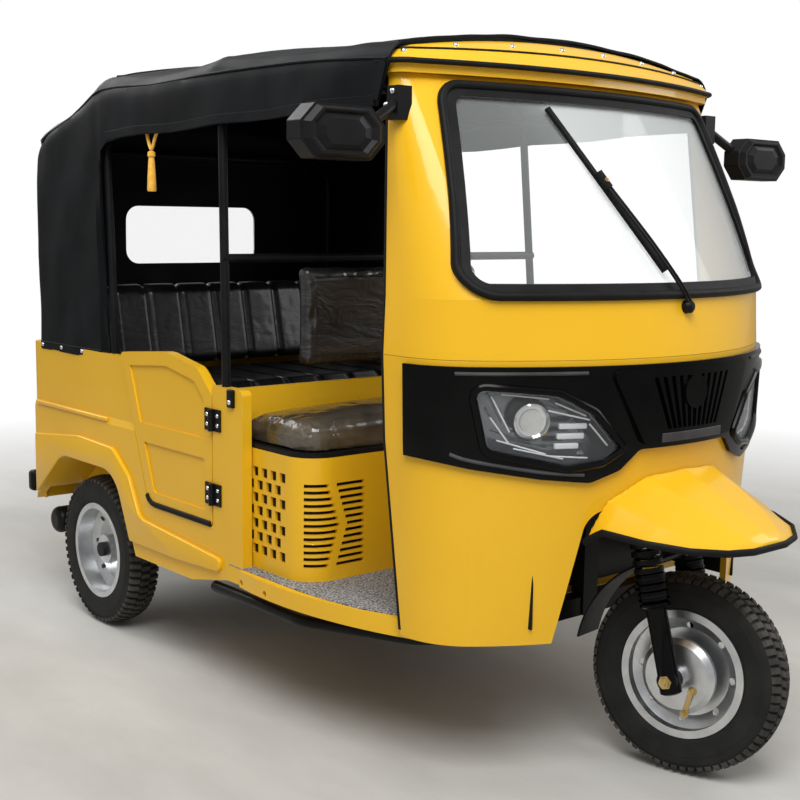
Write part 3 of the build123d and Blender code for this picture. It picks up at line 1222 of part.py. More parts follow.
keep("front_axle", steered(rod(on_leg(-axle_half, 0), on_leg(axle_half, 0), FRONT_AXLE_RADIUS)))
brake = rod(on_leg(-BRAKE_PLATE_INNER, 0), on_leg(-BRAKE_PLATE_OUTER, 0), BRAKE_PLATE_RADIUS)
brake = chamfer(brake.edges().filter_by(GeomType.CIRCLE).sort_by(Axis.X)[0], BRAKE_PLATE_INNER / 4)
leg_inner = FORK_HALF_SPAN - max(FORK_LEG_RADIUS, FORK_EYE_WIDTH / 2) - SEAT_GAP
brake += rod(on_leg(-BRAKE_PLATE_OUTER + OVERCUT, 0), on_leg(-leg_inner, 0), FORK_EYE_RADIUS)
brake -= rod(on_leg(-axle_half, 0), on_leg(axle_half, 0), FRONT_AXLE_RADIUS + SEAT_GAP)
keep("brake_plate", steered(brake))
guard_half = INNER_GUARD_WIDTH / 2
guard = rod(on_leg(-guard_half, 0), on_leg(guard_half, 0), INNER_GUARD_RADIUS + INNER_GUARD_WALL)
guard -= rod(on_leg(-guard_half, 0), on_leg(guard_half, 0), INNER_GUARD_RADIUS)
guard &= block(-FAR, FAR, FRONT_AXLE_Y, FAR, TYRE_RADIUS + INNER_GUARD_LOW, FAR)
leg_plane = Plane(origin=AXLE_POINT, x_dir=(1, 0, 0), z_dir=(0, math.cos(CASTER), -math.sin(CASTER)))
guard &= extrude(leg_plane * Rectangle(FAR, FAR), FAR)
stay_half = FORK_HALF_SPAN - BOOT_RADIUS - SEAT_GAP
guard += rod(on_leg(-stay_half, INNER_GUARD_RADIUS), on_leg(stay_half, INNER_GUARD_RADIUS), STAY_RADIUS)
keep("inner_mudguard", steered(guard))
bar_plane = Plane(origin=on_axis(COLUMN_END + BAR_RADIUS + SEAT_GAP), x_dir=(1, 0, 0), z_dir=AXIS_DIR)
bar_local = [(-BAR_HALF_SPAN, BAR_SWEEP), (-BAR_STRAIGHT, 0), (BAR_STRAIGHT, 0), (BAR_HALF_SPAN, BAR_SWEEP)]
bar_points = [bar_plane.from_local_coords((x, y, 0)) for x, y in bar_local]
handlebar = bent_tube(bar_points, BAR_BEND, BAR_RADIUS)
for end, inner_point in ((bar_points[0], bar_points[1]), (bar_points[3], bar_points[2])):
    grip_end = end + (inner_point - end).normalized() * GRIP_LENGTH
    handlebar += rod(end, grip_end, GRIP_RADIUS)
keep("handlebar", steered(handlebar))

os.makedirs("parts", exist_ok=True)
for name, shape in PARTS.items():
    export_step(shape, "parts/" + name + ".step")
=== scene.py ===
"""Looks of a passenger motor tricycle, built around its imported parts.

Metres, in the parts' own frame: +X is the vehicle's left, +Y is rearward, +Z is up.
Distances named "back" are measured rearward from the front axle.
"""
import json
import math

import bmesh
import bpy
from mathutils import Matrix, Vector, noise


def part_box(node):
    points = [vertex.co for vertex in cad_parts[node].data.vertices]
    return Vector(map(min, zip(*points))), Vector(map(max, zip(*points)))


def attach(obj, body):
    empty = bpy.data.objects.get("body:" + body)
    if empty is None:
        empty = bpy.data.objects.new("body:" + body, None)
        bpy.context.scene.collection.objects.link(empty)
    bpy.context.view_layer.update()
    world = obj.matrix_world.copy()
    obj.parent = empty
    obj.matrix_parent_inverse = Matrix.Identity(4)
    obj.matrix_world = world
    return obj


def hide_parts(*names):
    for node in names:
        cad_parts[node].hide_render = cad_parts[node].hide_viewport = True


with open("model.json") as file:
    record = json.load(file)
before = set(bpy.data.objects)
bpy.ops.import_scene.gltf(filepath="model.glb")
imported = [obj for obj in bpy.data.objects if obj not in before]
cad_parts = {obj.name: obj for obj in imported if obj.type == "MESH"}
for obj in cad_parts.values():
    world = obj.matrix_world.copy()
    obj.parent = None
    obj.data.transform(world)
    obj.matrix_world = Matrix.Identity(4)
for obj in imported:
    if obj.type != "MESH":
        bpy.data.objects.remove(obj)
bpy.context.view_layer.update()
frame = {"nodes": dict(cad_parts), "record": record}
nodes = frame["nodes"]
scene = bpy.context.scene

# Places shared by several pieces
FRONT_AXLE_Y = -1.122
TYRE_RADIUS = 0.254
SIDE_X = 0.645
STEER_REST = math.radians(16)
UP = Vector((0, 0, 1))
FORWARD = Vector((0, -1, 0))
LEFT = Vector((1, 0, 0))
SIDES = ((-1, "right"), (1, "left"))
FRONT_Y = -2.2
REAR_Y = 2.078
OUTSIDE = 1.2

# Camera solved from the photograph, lamps and floor
CAMERA_PLACE = (-2.615, -3.082, 1.378)
CAMERA_YAW = math.radians(40.10)
CAMERA_PITCH = math.radians(7.82)
CAMERA_ROLL = math.radians(-0.73)
CAMERA_LENS = 58.49
CAMERA_SENSOR = 36.0
LIGHTS = [
    # name, place, target, size, watts
    ("key", (-2.6, -3.2, 5.6), (0, 0, 0.9), 3.5, 390),
    ("fill", (4.5, -3.0, 3.5), (0, -0.3, 0.9), 3.0, 90),
    ("rear", (-1.0, 4.5, 4.0), (0, 0.5, 1.0), 3.0, 120),
]
WORLD_STRENGTH = 0.42
WORLD_SEEN = [
    # kind of ray, strength
    ("Is Glossy Ray", 0.5),
    ("Is Transmission Ray", 1.0),
    ("Is Camera Ray", 1.0),
]
FLOOR_HALF = 40.0
FLOOR_FADE_START = 2.6
FLOOR_FADE_END = 5.4


def behind(back):
    """Y of a place the given distance behind the front axle."""
    return FRONT_AXLE_Y + back


def blend_value(low, high, share):
    """A value between two others."""
    return low + (high - low) * share


# Materials
def material(name, color, roughness, **sockets):
    """A principled material; sockets are named with underscores for spaces."""
    made = bpy.data.materials.new(name)
    made.use_nodes = True
    shader = made.node_tree.nodes["Principled BSDF"]
    shader.inputs["Base Color"].default_value = (*color, 1)
    shader.inputs["Roughness"].default_value = roughness
    for socket, value in sockets.items():
        shader.inputs[socket.replace("_", " ")].default_value = value
    return made


def texture(made, kind, scale, stretch=(1, 1, 1), **values):
    """A texture node on the part's own coordinates; returns its grey output."""
    tree = made.node_tree
    coordinates = tree.nodes.new("ShaderNodeTexCoord")
    mapping = tree.nodes.new("ShaderNodeMapping")
    mapping.inputs["Scale"].default_value = stretch
    node = tree.nodes.new("ShaderNodeTex" + kind)
    node.inputs["Scale"].default_value = scale
    for socket, value in values.items():
        node.inputs[socket].default_value = value
    tree.links.new(coordinates.outputs["Object"], mapping.inputs["Vector"])
    tree.links.new(mapping.outputs["Vector"], node.inputs["Vector"])
    output = "Distance" if kind == "Voronoi" else "Fac"
    return node.outputs[output]


def bump(made, source, strength, distance):
    """Add a bump on top of any bump that is there."""
    tree = made.node_tree
    normal = tree.nodes["Principled BSDF"].inputs["Normal"]
    node = tree.nodes.new("ShaderNodeBump")
    node.inputs["Strength"].default_value = strength
    node.inputs["Distance"].default_value = distance
    if normal.is_linked:
        tree.links.new(normal.links[0].from_socket, node.inputs["Normal"])
    tree.links.new(source, node.inputs["Height"])
    tree.links.new(node.outputs["Normal"], normal)


def tones(made, source, dark, light, low=0.35, high=0.65):
    """Colour that runs from dark to light with a texture."""
    tree = made.node_tree
    ramp = tree.nodes.new("ShaderNodeValToRGB")
    ramp.color_ramp.elements[0].position = low
    ramp.color_ramp.elements[0].color = (*dark, 1)
    ramp.color_ramp.elements[1].position = high
    ramp.color_ramp.elements[1].color = (*light, 1)
    tree.links.new(source, ramp.inputs["Fac"])
    tree.links.new(ramp.outputs["Color"], tree.nodes["Principled BSDF"].inputs["Base Color"])


def set_span(made, source, low, high, socket):
    """Drive a shader socket between two values with a grey output."""
    tree = made.node_tree
    span = tree.nodes.new("ShaderNodeMapRange")
    span.inputs["To Min"].default_value = low
    span.inputs["To Max"].default_value = high
    tree.links.new(source, span.inputs["Value"])
    tree.links.new(span.outputs["Result"], tree.nodes["Principled BSDF"].inputs[socket])


def gloss_range(made, source, low, high):
    """Roughness that runs between two values with a texture."""
    set_span(made, source, low, high, "Roughness")


def yellow_paint():
    """Amber-yellow gloss paint with a faint orange peel."""
    made = material("yellow_paint", (0.77, 0.43, 0.013), 0.36, Coat_Weight=0.35, Coat_Roughness=0.06,
                    Specular_IOR_Level=0.2)
    tones(made, texture(made, "Noise", 1.6, Detail=3.0), (0.75, 0.415, 0.011), (0.79, 0.445, 0.015))
    gloss_range(made, texture(made, "Noise", 9.0, Detail=2.0), 0.27, 0.37)
    bump(made, texture(made, "Noise", 420.0, Detail=1.0), 0.05, 0.0006)
    return made


def plain_black(name, level, roughness, grain_scale, grain):
    """Black plastic, rubber or paint with a fine grain."""
    made = material(name, (level, level, level * 1.05), roughness, Specular_IOR_Level=0.12)
    dark = (level * 0.8, level * 0.8, level * 0.85)
    light = (level * 1.3, level * 1.3, level * 1.36)
    tones(made, texture(made, "Noise", 12.0, Detail=3.0), dark, light)
    gloss_range(made, texture(made, "Noise", 30.0, Detail=2.0), roughness * 0.88, min(roughness * 1.12, 1.0))
    bump(made, texture(made, "Noise", grain_scale, Detail=2.0), grain, 0.001)
    return made


def canvas_material():
    """Coated black canvas with a fine weave and soft creases."""
    made = material("canvas", (0.003, 0.0035, 0.005), 0.55, Specular_IOR_Level=0.1)
    tones(made, texture(made, "Noise", 5.0, Detail=4.0), (0.0018, 0.0024, 0.0032), (0.0036, 0.0045, 0.006))
    gloss_range(made, texture(made, "Noise", 14.0, Detail=4.0), 0.46, 0.62)
    bump(made, texture(made, "Noise", 9.0, (1, 1, 0.45), Detail=3.0), 0.22, 0.006)
    for stretch in ((0, 1, 0), (1, 0, 0), (0, 0, 1)):
        bump(made, texture(made, "Wave", 260.0, stretch), 0.06, 0.0006)
    return made


def vinyl_material(name, tone, coat, folds, reflected_warmth=1.0):
    """Dark seat vinyl under clear film, with sharp film creases; reflected_warmth above 1 tints the colour
    brown as a painted reflection of the yellow cab in the film.
    """
    made = material(name, (tone, tone, tone), 0.42, Coat_Weight=coat, Coat_Roughness=0.08,
                    Specular_IOR_Level=0.35)
    dark = (tone * 0.6, tone * 0.6 / reflected_warmth, tone * 0.65 / reflected_warmth ** 3)
    light = (tone * 1.5, tone * 1.5 / reflected_warmth, tone * 1.5 / reflected_warmth ** 3)
    tones(made, texture(made, "Noise", 7.0, Detail=5.0), dark, light)
    bump(made, texture(made, "Voronoi", 900.0), 0.08, 0.0008)
    bump(made, texture(made, "Noise", 9.0, (1, 1, 2.5), Detail=8.0, Distortion=1.6), folds, 0.012)
    return made


def glass_material(name, tint, clear, veil):
    """Thin clear sheet: see-through face on, mirror-like at a low angle."""
    made = material(name, tint, 0.03, Specular_IOR_Level=0.8)
    facing = made.node_tree.nodes.new("ShaderNodeLayerWeight")
    facing.inputs["Blend"].default_value = 0.22
    set_span(made, facing.outputs["Fresnel"], clear, veil, "Alpha")
    bump(made, texture(made, "Noise", 3.0, Detail=1.0), 0.02, 0.002)
    return made


def metal(name, color, roughness, grain_scale=60.0):
    """Bare or plated metal with faint cloudy streaks."""
    made = material(name, color, roughness, Metallic=1.0)
    dark = tuple(channel * 0.86 for channel in color)
    light = tuple(min(channel * 1.08, 1.0) for channel in color)
    tones(made, texture(made, "Noise", 18.0, Detail=4.0), dark, light)
    gloss_range(made, texture(made, "Noise", grain_scale, Detail=3.0), roughness * 0.8, roughness * 1.25)
    bump(made, texture(made, "Noise", 500.0, Detail=1.0), 0.04, 0.0004)
    return made


def tyre_material(name, dark, light):
    """Dusty road rubber."""
    made = material(name, light, 0.75, Specular_IOR_Level=0.3)
    tones(made, texture(made, "Noise", 16.0, Detail=6.0), dark, light)
    bump(made, texture(made, "Noise", 240.0, Detail=3.0), 0.18, 0.001)
    return made


def mat_material():
    """Grey floor mat, speckled and pebbled."""
    made = material("floor_mat", (0.17, 0.165, 0.155), 0.8)
    tones(made, texture(made, "Noise", 170.0, Detail=3.0), (0.05, 0.05, 0.048), (0.36, 0.35, 0.33), 0.4, 0.62)
    bump(made, texture(made, "Voronoi", 150.0), 0.5, 0.002)
    return made


def cord_material():
    """Twisted yellow furnishing cord."""
    made = material("tie_cord", (0.92, 0.47, 0.03), 0.7, Sheen_Weight=0.3)
    tones(made, texture(made, "Noise", 60.0, Detail=3.0), (0.85, 0.40, 0.02), (1.0, 0.56, 0.06))
    bump(made, texture(made, "Wave", 320.0, (1, 1, 1.4)), 0.4, 0.001)
    return made


def red_material():
    """Red lamp plastic with a moulded prism pattern."""
    made = material("red_lens", (0.42, 0.012, 0.012), 0.12, Coat_Weight=0.6, Coat_Roughness=0.03)
    tones(made, texture(made, "Noise", 8.0, Detail=2.0), (0.34, 0.008, 0.008), (0.5, 0.02, 0.016))
    bump(made, texture(made, "Wave", 160.0, (0, 0, 1)), 0.35, 0.002)
    return made


LOOKS = {
    "yellow_paint": yellow_paint(),
    "black_paint": plain_black("black_paint", 0.007, 0.34, 300.0, 0.05),
    "black_plastic": plain_black("black_plastic", 0.007, 0.36, 700.0, 0.10),
    "gloss_black": plain_black("gloss_black", 0.002, 0.12, 200.0, 0.02),
    "screen_glass": glass_material("screen_glass", (0.86, 0.9, 0.9), 0.07, 0.55),
    "lamp_lens": glass_material("lamp_lens", (0.5, 0.52, 0.54), 0.05, 0.5),
    "lamp_bowl": metal("lamp_bowl", (0.16, 0.17, 0.185), 0.12),
    "rubber": plain_black("rubber", 0.007, 0.55, 500.0, 0.1),
    "tyre": tyre_material("tyre", (0.006, 0.006, 0.006), (0.013, 0.013, 0.012)),
    "silver_wheel": metal("silver_wheel", (0.62, 0.63, 0.64), 0.3),
    "steel": metal("steel", (0.6, 0.6, 0.6), 0.24),
    "cast_metal": plain_black("cast_metal", 0.02, 0.6, 120.0, 0.3),
    "canvas": canvas_material(),
    "dark_vinyl": vinyl_material("dark_vinyl", 0.004, 0.2, 0.22),
    "window_film": glass_material("window_film", (0.96, 0.97, 0.97), 0.06, 0.4),
    "red_lens": red_material(),
}
TREAD = tyre_material("tread", (0.018, 0.017, 0.016), (0.06, 0.056, 0.05))
FILM_VINYL = vinyl_material("film_vinyl", 0.016, 0.9, 0.6)
# The driver's seat vinyl is made light and warm brown as a painted reflection of the yellow cab and the white
# surroundings in its clear film; the vinyl itself is dark grey
SEAT_VINYL_PAINTED_REFLECTION = vinyl_material("seat_vinyl_painted_reflection", 0.060, 0.9, 0.5, 1.25)
BRASS = metal("brass", (0.62, 0.46, 0.2), 0.28)
CHROME = metal("chrome", (0.78, 0.79, 0.8), 0.08)
MIRROR_GLASS = metal("mirror_glass", (0.8, 0.82, 0.83), 0.02)
MAT = mat_material()
TIE_CORD = cord_material()
# Dark grey: the grille strip's own colour, and on the fascia rims a painted highlight for the sheen along the
# gloss-black fascia's edges
GREY_TRIM_AND_PAINTED_SHEEN = plain_black("grey_trim_and_painted_sheen", 0.05, 0.45, 400.0, 0.08)
# White: the light bars' own colour, and on the thin lines inside the lamps a painted highlight for light
# glinting on the reflector's facets
LAMP_WHITE_AND_PAINTED_GLINT = material("lamp_white_and_painted_glint", (0.85, 0.87, 0.9), 0.15, Coat_Weight=0.8, Coat_Roughness=0.03)
bump(LAMP_WHITE_AND_PAINTED_GLINT, texture(LAMP_WHITE_AND_PAINTED_GLINT, "Wave", 120.0, (1, 0, 0.4)), 0.3, 0.002)

SHARP_ANGLE = math.radians(32)
for row in frame["record"]["subparts"]:
    node_mesh = nodes[row["node"]].data
    node_mesh.materials.clear()
    node_mesh.materials.append(LOOKS[row["material_slot"]])


# Mesh helpers
def finish_piece(obj, slot, body="chassis", made=None, smooth=True):
    """Shade, colour and attach a new piece, in its slot's own look unless another is given."""
    obj.data.materials.clear()
    obj.data.materials.append(made or LOOKS[slot])
    if smooth:
        obj.data.shade_smooth()
        obj.data.set_sharp_from_angle(angle=SHARP_ANGLE)
    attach(obj, body)
    return obj


def new_object(name, verts, faces):
    """A mesh object with its normals pointing out."""
    mesh = bpy.data.meshes.new(name)
    mesh.from_pydata([tuple(vert) for vert in verts], [], faces)
    shape = bmesh.new()
    shape.from_mesh(mesh)
    bmesh.ops.remove_doubles(shape, verts=shape.verts, dist=1e-6)
    bmesh.ops.recalc_face_normals(shape, faces=shape.faces)
    shape.to_mesh(mesh)
    shape.free()
    obj = bpy.data.objects.new(name, mesh)
    scene.collection.objects.link(obj)
    return obj


def new_piece(name, shape, slot, body="chassis", made=None, smooth=True):
    """A finished piece from its vertices and faces."""
    return finish_piece(new_object(name, *shape), slot, body, made, smooth)


def apply_modifiers(obj):
    """Turn the modifiers' result into the object's own mesh."""
    graph = bpy.context.evaluated_depsgraph_get()
    graph.update()
    mesh = bpy.data.meshes.new_from_object(obj.evaluated_get(graph))
    obj.modifiers.clear()
    obj.data = mesh


def remesh(obj, voxel):
    """Give an object an even mesh of the given fineness."""
    obj.data.remesh_voxel_size = voxel
    bpy.context.view_layer.objects.active = obj
    bpy.ops.object.voxel_remesh()


def steps_between(low, high, count):
    """Evenly spaced values from low to high."""
    return [blend_value(low, high, step / (count - 1)) for step in range(count)]


def dense_line(corners, steps):
    """A line through the corners with straight spans cut into steps."""
    line = []
    for low, high in zip(corners, corners[1:]):
        line += [low.lerp(high, step / steps) for step in range(steps)]
    return line + [corners[-1]]


def smooth_line(points, steps=6):
    """Points along a smooth curve through the given ones."""
    points = [Vector(point) for point in points]
    count = len(points)
    line = []
    for index in range(count - 1):
        start, end = points[index], points[index + 1]
        before = points[max(index - 1, 0)]
        after = points[min(index + 2, count - 1)]
        for step in range(steps):
            t = step / steps
            line.append(0.5 * (2 * start + (end - before) * t
                               + (2 * before - 5 * start + 4 * end - after) * t ** 2
                               + (3 * start - before - 3 * end + after) * t ** 3))
    line.append(points[-1])
    return line


def round_profile(radius, sides=10):
    """A round section for a swept piece."""
    turns = [2 * math.pi * index / sides for index in range(sides)]
    return [(radius * math.cos(turn), radius * math.sin(turn)) for turn in turns]


def flat_profile(width, thickness):
    """A flat strip's section with softened edges, lying on its path."""
    half = width / 2
    edge = thickness * 0.4
    return [(-half, 0), (half, 0), (half, thickness - edge), (half - edge, thickness),
            (edge - half, thickness), (-half, thickness - edge)]


def ring_faces(rings, count, closed=False):
    """Faces between rings of points; closed joins the last ring to the first, else both ends are capped."""
    faces = []
    for ring in range(rings if closed else rings - 1):
        low = ring * count
        high = (ring + 1) % rings * count
        for index in range(count):
            turn = (index + 1) % count
            faces.append((low + index, low + turn, high + turn, high + index))
    if not closed:
        faces.append(tuple(range(count)))
        faces.append(tuple(range((rings - 1) * count, rings * count)))
    return faces


def grid_faces(rows, count, start=0):
    """Faces of an open net of points, row by row."""
    faces = []
    for row in range(rows - 1):
        for index in range(count - 1):
            low = start + row * count + index
            faces.append((low, low + 1, low + count + 1, low + count))
    return faces


def sweep(points, profile, ups=UP, closed=False):
    """Vertices and faces of a section carried along a line; ups is one direction or one per point."""
    count = len(points)
    verts = []
    for index, point in enumerate(points):
        before = points[index - 1] if index or closed else point
        after = points[(index + 1) % count] if index < count - 1 or closed else point
        ahead = (after - before).normalized()
        up = ups[index] if isinstance(ups, list) else ups
        side = ahead.cross(up).normalized()
        lift = side.cross(ahead)
        verts += [point + side * u + lift * v for u, v in profile]
    return verts, ring_faces(count, len(profile), closed)


def joined(shapes):
    """One list of vertices and faces from several."""
    verts = []
    faces = []
    for shape_verts, shape_faces in shapes:
        start = len(verts)
        verts += shape_verts
        faces += [tuple(start + corner for corner in face) for face in shape_faces]
    return verts, faces


def swept_piece(name, lines, profile, slot, ups=UP, body="chassis", made=None):
    """One piece from one section carried along several lines."""
    shapes = [sweep(line, profile, ups[index] if isinstance(ups, dict) else ups)
              for index, line in enumerate(lines)]
    return new_piece(name, joined(shapes), slot, body, made)


def turned(profile, place, axis, sides=24):
    """A lathe form: (along, radius) rows turned about an axis through a place."""
    axis = Vector(axis).normalized()
    across = axis.orthogonal().normalized()
    other = axis.cross(across)
    verts = []
    for along, radius in profile:
        for index in range(sides):
            turn = 2 * math.pi * index / sides
            spoke = across * math.cos(turn) + other * math.sin(turn)
            verts.append(Vector(place) + axis * along + spoke * radius)
    return verts, ring_faces(len(profile), sides)


def dome(radius, height):
    """Lathe rows of a round stud head."""
    rows = [(-0.001, radius)]
    for step in range(5):
        angle = math.pi / 2 * step / 4.4
        rows.append((height * math.sin(angle), radius * math.cos(angle)))
    return rows


BOLT_HEAD = dome(0.0075, 0.005)


def nut(radius, height):
    """Lathe rows of a nut with a washer and a bolt end."""
    return [(-0.001, radius * 1.35), (height * 0.2, radius * 1.35), (height * 0.22, radius),
            (height, radius), (height, radius * 0.6), (height * 1.4, radius * 0.55)]


def studs(name, places, rows, body="chassis", made=None, sides=12):
    """Round heads or nuts, each at a place with its outward direction, as one piece."""
    shapes = [turned(rows, place, normal, sides) for place, normal in places]
    return new_piece(name, joined(shapes), "steel", body, made)


def soft_box(low, high, edge):
    """A box with its edges rounded by the given radius."""
    shape = bmesh.new()
    bmesh.ops.create_cube(shape, size=1.0)
    low = Vector(low)
    high = Vector(high)
    for vert in shape.verts:
        vert.co = Vector((blend_value(low[k], high[k], vert.co[k] + 0.5) for k in range(3)))
    bmesh.ops.bevel(shape, geom=list(shape.edges), offset=edge, segments=3, profile=0.5, affect="EDGES")
    verts = [vert.co.copy() for vert in shape.verts]
    shape.verts.index_update()
    faces = [tuple(vert.index for vert in face.verts) for face in shape.faces]
    shape.free()
    return verts, faces


def both_sides(shape):
    """The shape and its mirror image across the vehicle."""
    verts, faces = shape
    other = [Vector((-vert[0], vert[1], vert[2])) for vert in verts]
    return joined([(verts, faces), (other, [tuple(reversed(face)) for face in faces])])


def moved(shape, matrix):
    """The shape carried by a matrix."""
    verts, faces = shape
    return [matrix @ Vector(vert) for vert in verts], faces


def landing(obj, start, direction):
    """Where a straight line from start first meets an object, and the surface's direction there."""
    hit, place, normal, _ = obj.ray_cast(Vector(start), Vector(direction).normalized())
    if not hit:
        raise ValueError("no surface of " + obj.name + " from " + str(tuple(start)))
    if normal.dot(Vector(direction)) > 0:
        normal = -normal
    return place, normal


# Camera, light and floor
def camera_matrix():
    """The camera's place and turn in the photograph."""
    forward = Vector((math.sin(CAMERA_YAW) * math.cos(CAMERA_PITCH),
                      math.cos(CAMERA_YAW) * math.cos(CAMERA_PITCH), -math.sin(CAMERA_PITCH)))
    right = Vector((math.cos(CAMERA_YAW), -math.sin(CAMERA_YAW), 0))
    down = forward.cross(right)
    rolled_right = right * math.cos(CAMERA_ROLL) + down * math.sin(CAMERA_ROLL)
    rolled_down = down * math.cos(CAMERA_ROLL) - right * math.sin(CAMERA_ROLL)
    turn = Matrix((rolled_right, -rolled_down, -forward)).transposed().to_4x4()
    return Matrix.Translation(CAMERA_PLACE) @ turn


def add_camera():
    """The camera at the photograph's place and angle."""
    data = bpy.data.cameras.new("camera")
    data.sensor_width = CAMERA_SENSOR
    data.lens = CAMERA_LENS
    camera = bpy.data.objects.new("camera", data)
    camera.matrix_world = camera_matrix()
    scene.collection.objects.link(camera)
    scene.camera = camera


def add_light(name, place, target, size, watts):
    """A soft square lamp that points at a target."""
    data = bpy.data.lights.new(name, "AREA")
    data.shape = "SQUARE"
    data.size = size
    data.energy = watts
    lamp = bpy.data.objects.new(name, data)
    lamp.location = place
    lamp.rotation_euler = (Vector(target) - Vector(place)).to_track_quat("-Z", "Y").to_euler()
    scene.collection.objects.link(lamp)


def add_world():
    """Surroundings that look white, show greyer in paint and light the object softly."""
    world = bpy.data.worlds.new("surroundings")
    scene.world = world
    world.use_nodes = True
    tree = world.node_tree
    path = tree.nodes.new("ShaderNodeLightPath")
    background = tree.nodes["Background"]
    background.inputs["Color"].default_value = (1, 1, 1, 1)
    strength_socket = None
    for output, seen in WORLD_SEEN:
        span = tree.nodes.new("ShaderNodeMapRange")
        span.inputs["To Min"].default_value = WORLD_STRENGTH
        span.inputs["To Max"].default_value = seen
        if strength_socket:
            tree.links.new(strength_socket, span.inputs["To Min"])
        tree.links.new(path.outputs[output], span.inputs["Value"])
        strength_socket = span.outputs["Result"]
    tree.links.new(strength_socket, background.inputs["Strength"])


def add_floor():
    """A plain pale floor that fades to white far off."""
    corners = [(u * FLOOR_HALF, v * FLOOR_HALF, 0) for u, v in ((-1, -1), (1, -1), (1, 1), (-1, 1))]
    floor = new_object("floor", corners, [(0, 1, 2, 3)])
    made = material("pale_floor", (0.5, 0.49, 0.47), 0.75)
    clouds = texture(made, "Noise", 1.3, (1, 0.45, 1), Detail=9.0, Roughness=0.62)
    tones(made, clouds, (0.40, 0.39, 0.365), (0.53, 0.52, 0.49))
    tree = made.node_tree
    place = tree.nodes.new("ShaderNodeNewGeometry")
    distance = tree.nodes.new("ShaderNodeVectorMath")
    distance.operation = "LENGTH"
    span = tree.nodes.new("ShaderNodeMapRange")
    span.inputs["From Min"].default_value = FLOOR_FADE_START
    span.inputs["From Max"].default_value = FLOOR_FADE_END
    white = tree.nodes.new("ShaderNodeEmission")
    white.inputs["Strength"].default_value = 1.0
    mix = tree.nodes.new("ShaderNodeMixShader")
    tree.links.new(place.outputs["Position"], distance.inputs[0])
    tree.links.new(distance.outputs["Value"], span.inputs["Value"])
    path = tree.nodes.new("ShaderNodeLightPath")
    seen = tree.nodes.new("ShaderNodeMath")
    seen.operation = "MULTIPLY"
    tree.links.new(span.outputs["Result"], seen.inputs[0])
    tree.links.new(path.outputs["Is Camera Ray"], seen.inputs[1])
    tree.links.new(seen.outputs["Value"], mix.inputs["Fac"])
    tree.links.new(tree.nodes["Principled BSDF"].outputs["BSDF"], mix.inputs[1])
    tree.links.new(white.outputs["Emission"], mix.inputs[2])
    tree.links.new(mix.outputs["Shader"], tree.nodes["Material Output"].inputs["Surface"])
    floor.data.materials.append(made)


add_camera()
add_world()
add_floor()
for light_row in LIGHTS:
    add_light(*light_row)
scene.view_settings.view_transform = "Standard"

# Canvas hood
CANVAS_ROWS = [
    # back, half width, edge height, crown height, edge radius
    (0.476, 0.612, 1.806, 1.856, 0.060),
    (0.580, 0.614, 1.814, 1.868, 0.064),
    (0.820, 0.620, 1.826, 1.890, 0.072),
    (1.235, 0.628, 1.828, 1.896, 0.076),
    (1.580, 0.633, 1.822, 1.890, 0.082),
    (1.900, 0.640, 1.824, 1.892, 0.086),
    (2.060, 0.641, 1.776, 1.838, 0.090),
    (2.200, 0.642, 1.730, 1.788, 0.088),
    (2.326, 0.642, 1.682, 1.734, 0.080),
    (2.374, 0.642, 1.622, 1.670, 0.070),
    (2.398, 0.642, 1.526, 1.572, 0.064),
]
CANVAS_REAR_BACK = 2.398
CANVAS_CORNER = 0.045
CANVAS_THICKNESS = 0.004
CANVAS_BOTTOM = 0.918
CANVAS_SAG = 0.011
CANVAS_RIDGE = 0.005
CANVAS_RIDGE_WIDTH = 0.03
CANVAS_FOLD = 0.0045
CANVAS_RINGS = 96
CANVAS_SIDE_ROWS = 34
CANVAS_ARC_STEPS = 8
CANVAS_TOP_STEPS = 36
CANVAS_FRONT_BACK = 0.476
CANVAS_FRONT_Z = 1.765
BOW_BACKS = (0.532, 1.235, 1.915, 2.34)
VALANCE_FRONT = (0.516, 1.652)
VALANCE_REAR = (1.905, 1.618)
OPENING_FOOT_BACK = 1.846
CAB_TOP = 1.722
WINDOW_HALF = 0.282
WINDOW_LOW = 1.211
WINDOW_HIGH = 1.423
WINDOW_CORNER = 0.05
WINDOW_MARGIN = 0.016


def canvas_row(back):
    """Half width, edge, crown and radius of the hood at a distance back."""
    last = len(CANVAS_ROWS) - 1
    index = 0
    while index < last - 1 and back > CANVAS_ROWS[index + 1][0]:
        index += 1
    low, high = CANVAS_ROWS[index], CANVAS_ROWS[index + 1]
    before = CANVAS_ROWS[max(index - 1, 0)]
    after = CANVAS_ROWS[min(index + 2, last)]
    t = (back - low[0]) / (high[0] - low[0])
    values = []
    for column in range(1, 5):
        slope_low = (high[column] - before[column]) / (high[0] - before[0]) * (high[0] - low[0])
        slope_high = (after[column] - low[column]) / (after[0] - low[0]) * (high[0] - low[0])
        values.append((2 * t ** 3 - 3 * t ** 2 + 1) * low[column] + (t ** 3 - 2 * t ** 2 + t) * slope_low
                      + (3 * t ** 2 - 2 * t ** 3) * high[column] + (t ** 3 - t ** 2) * slope_high)
    into_corner = back - (CANVAS_REAR_BACK - CANVAS_CORNER)
    if into_corner > 0:
        values[0] -= CANVAS_CORNER - math.sqrt(max(CANVAS_CORNER ** 2 - into_corner ** 2, 0))
    return values


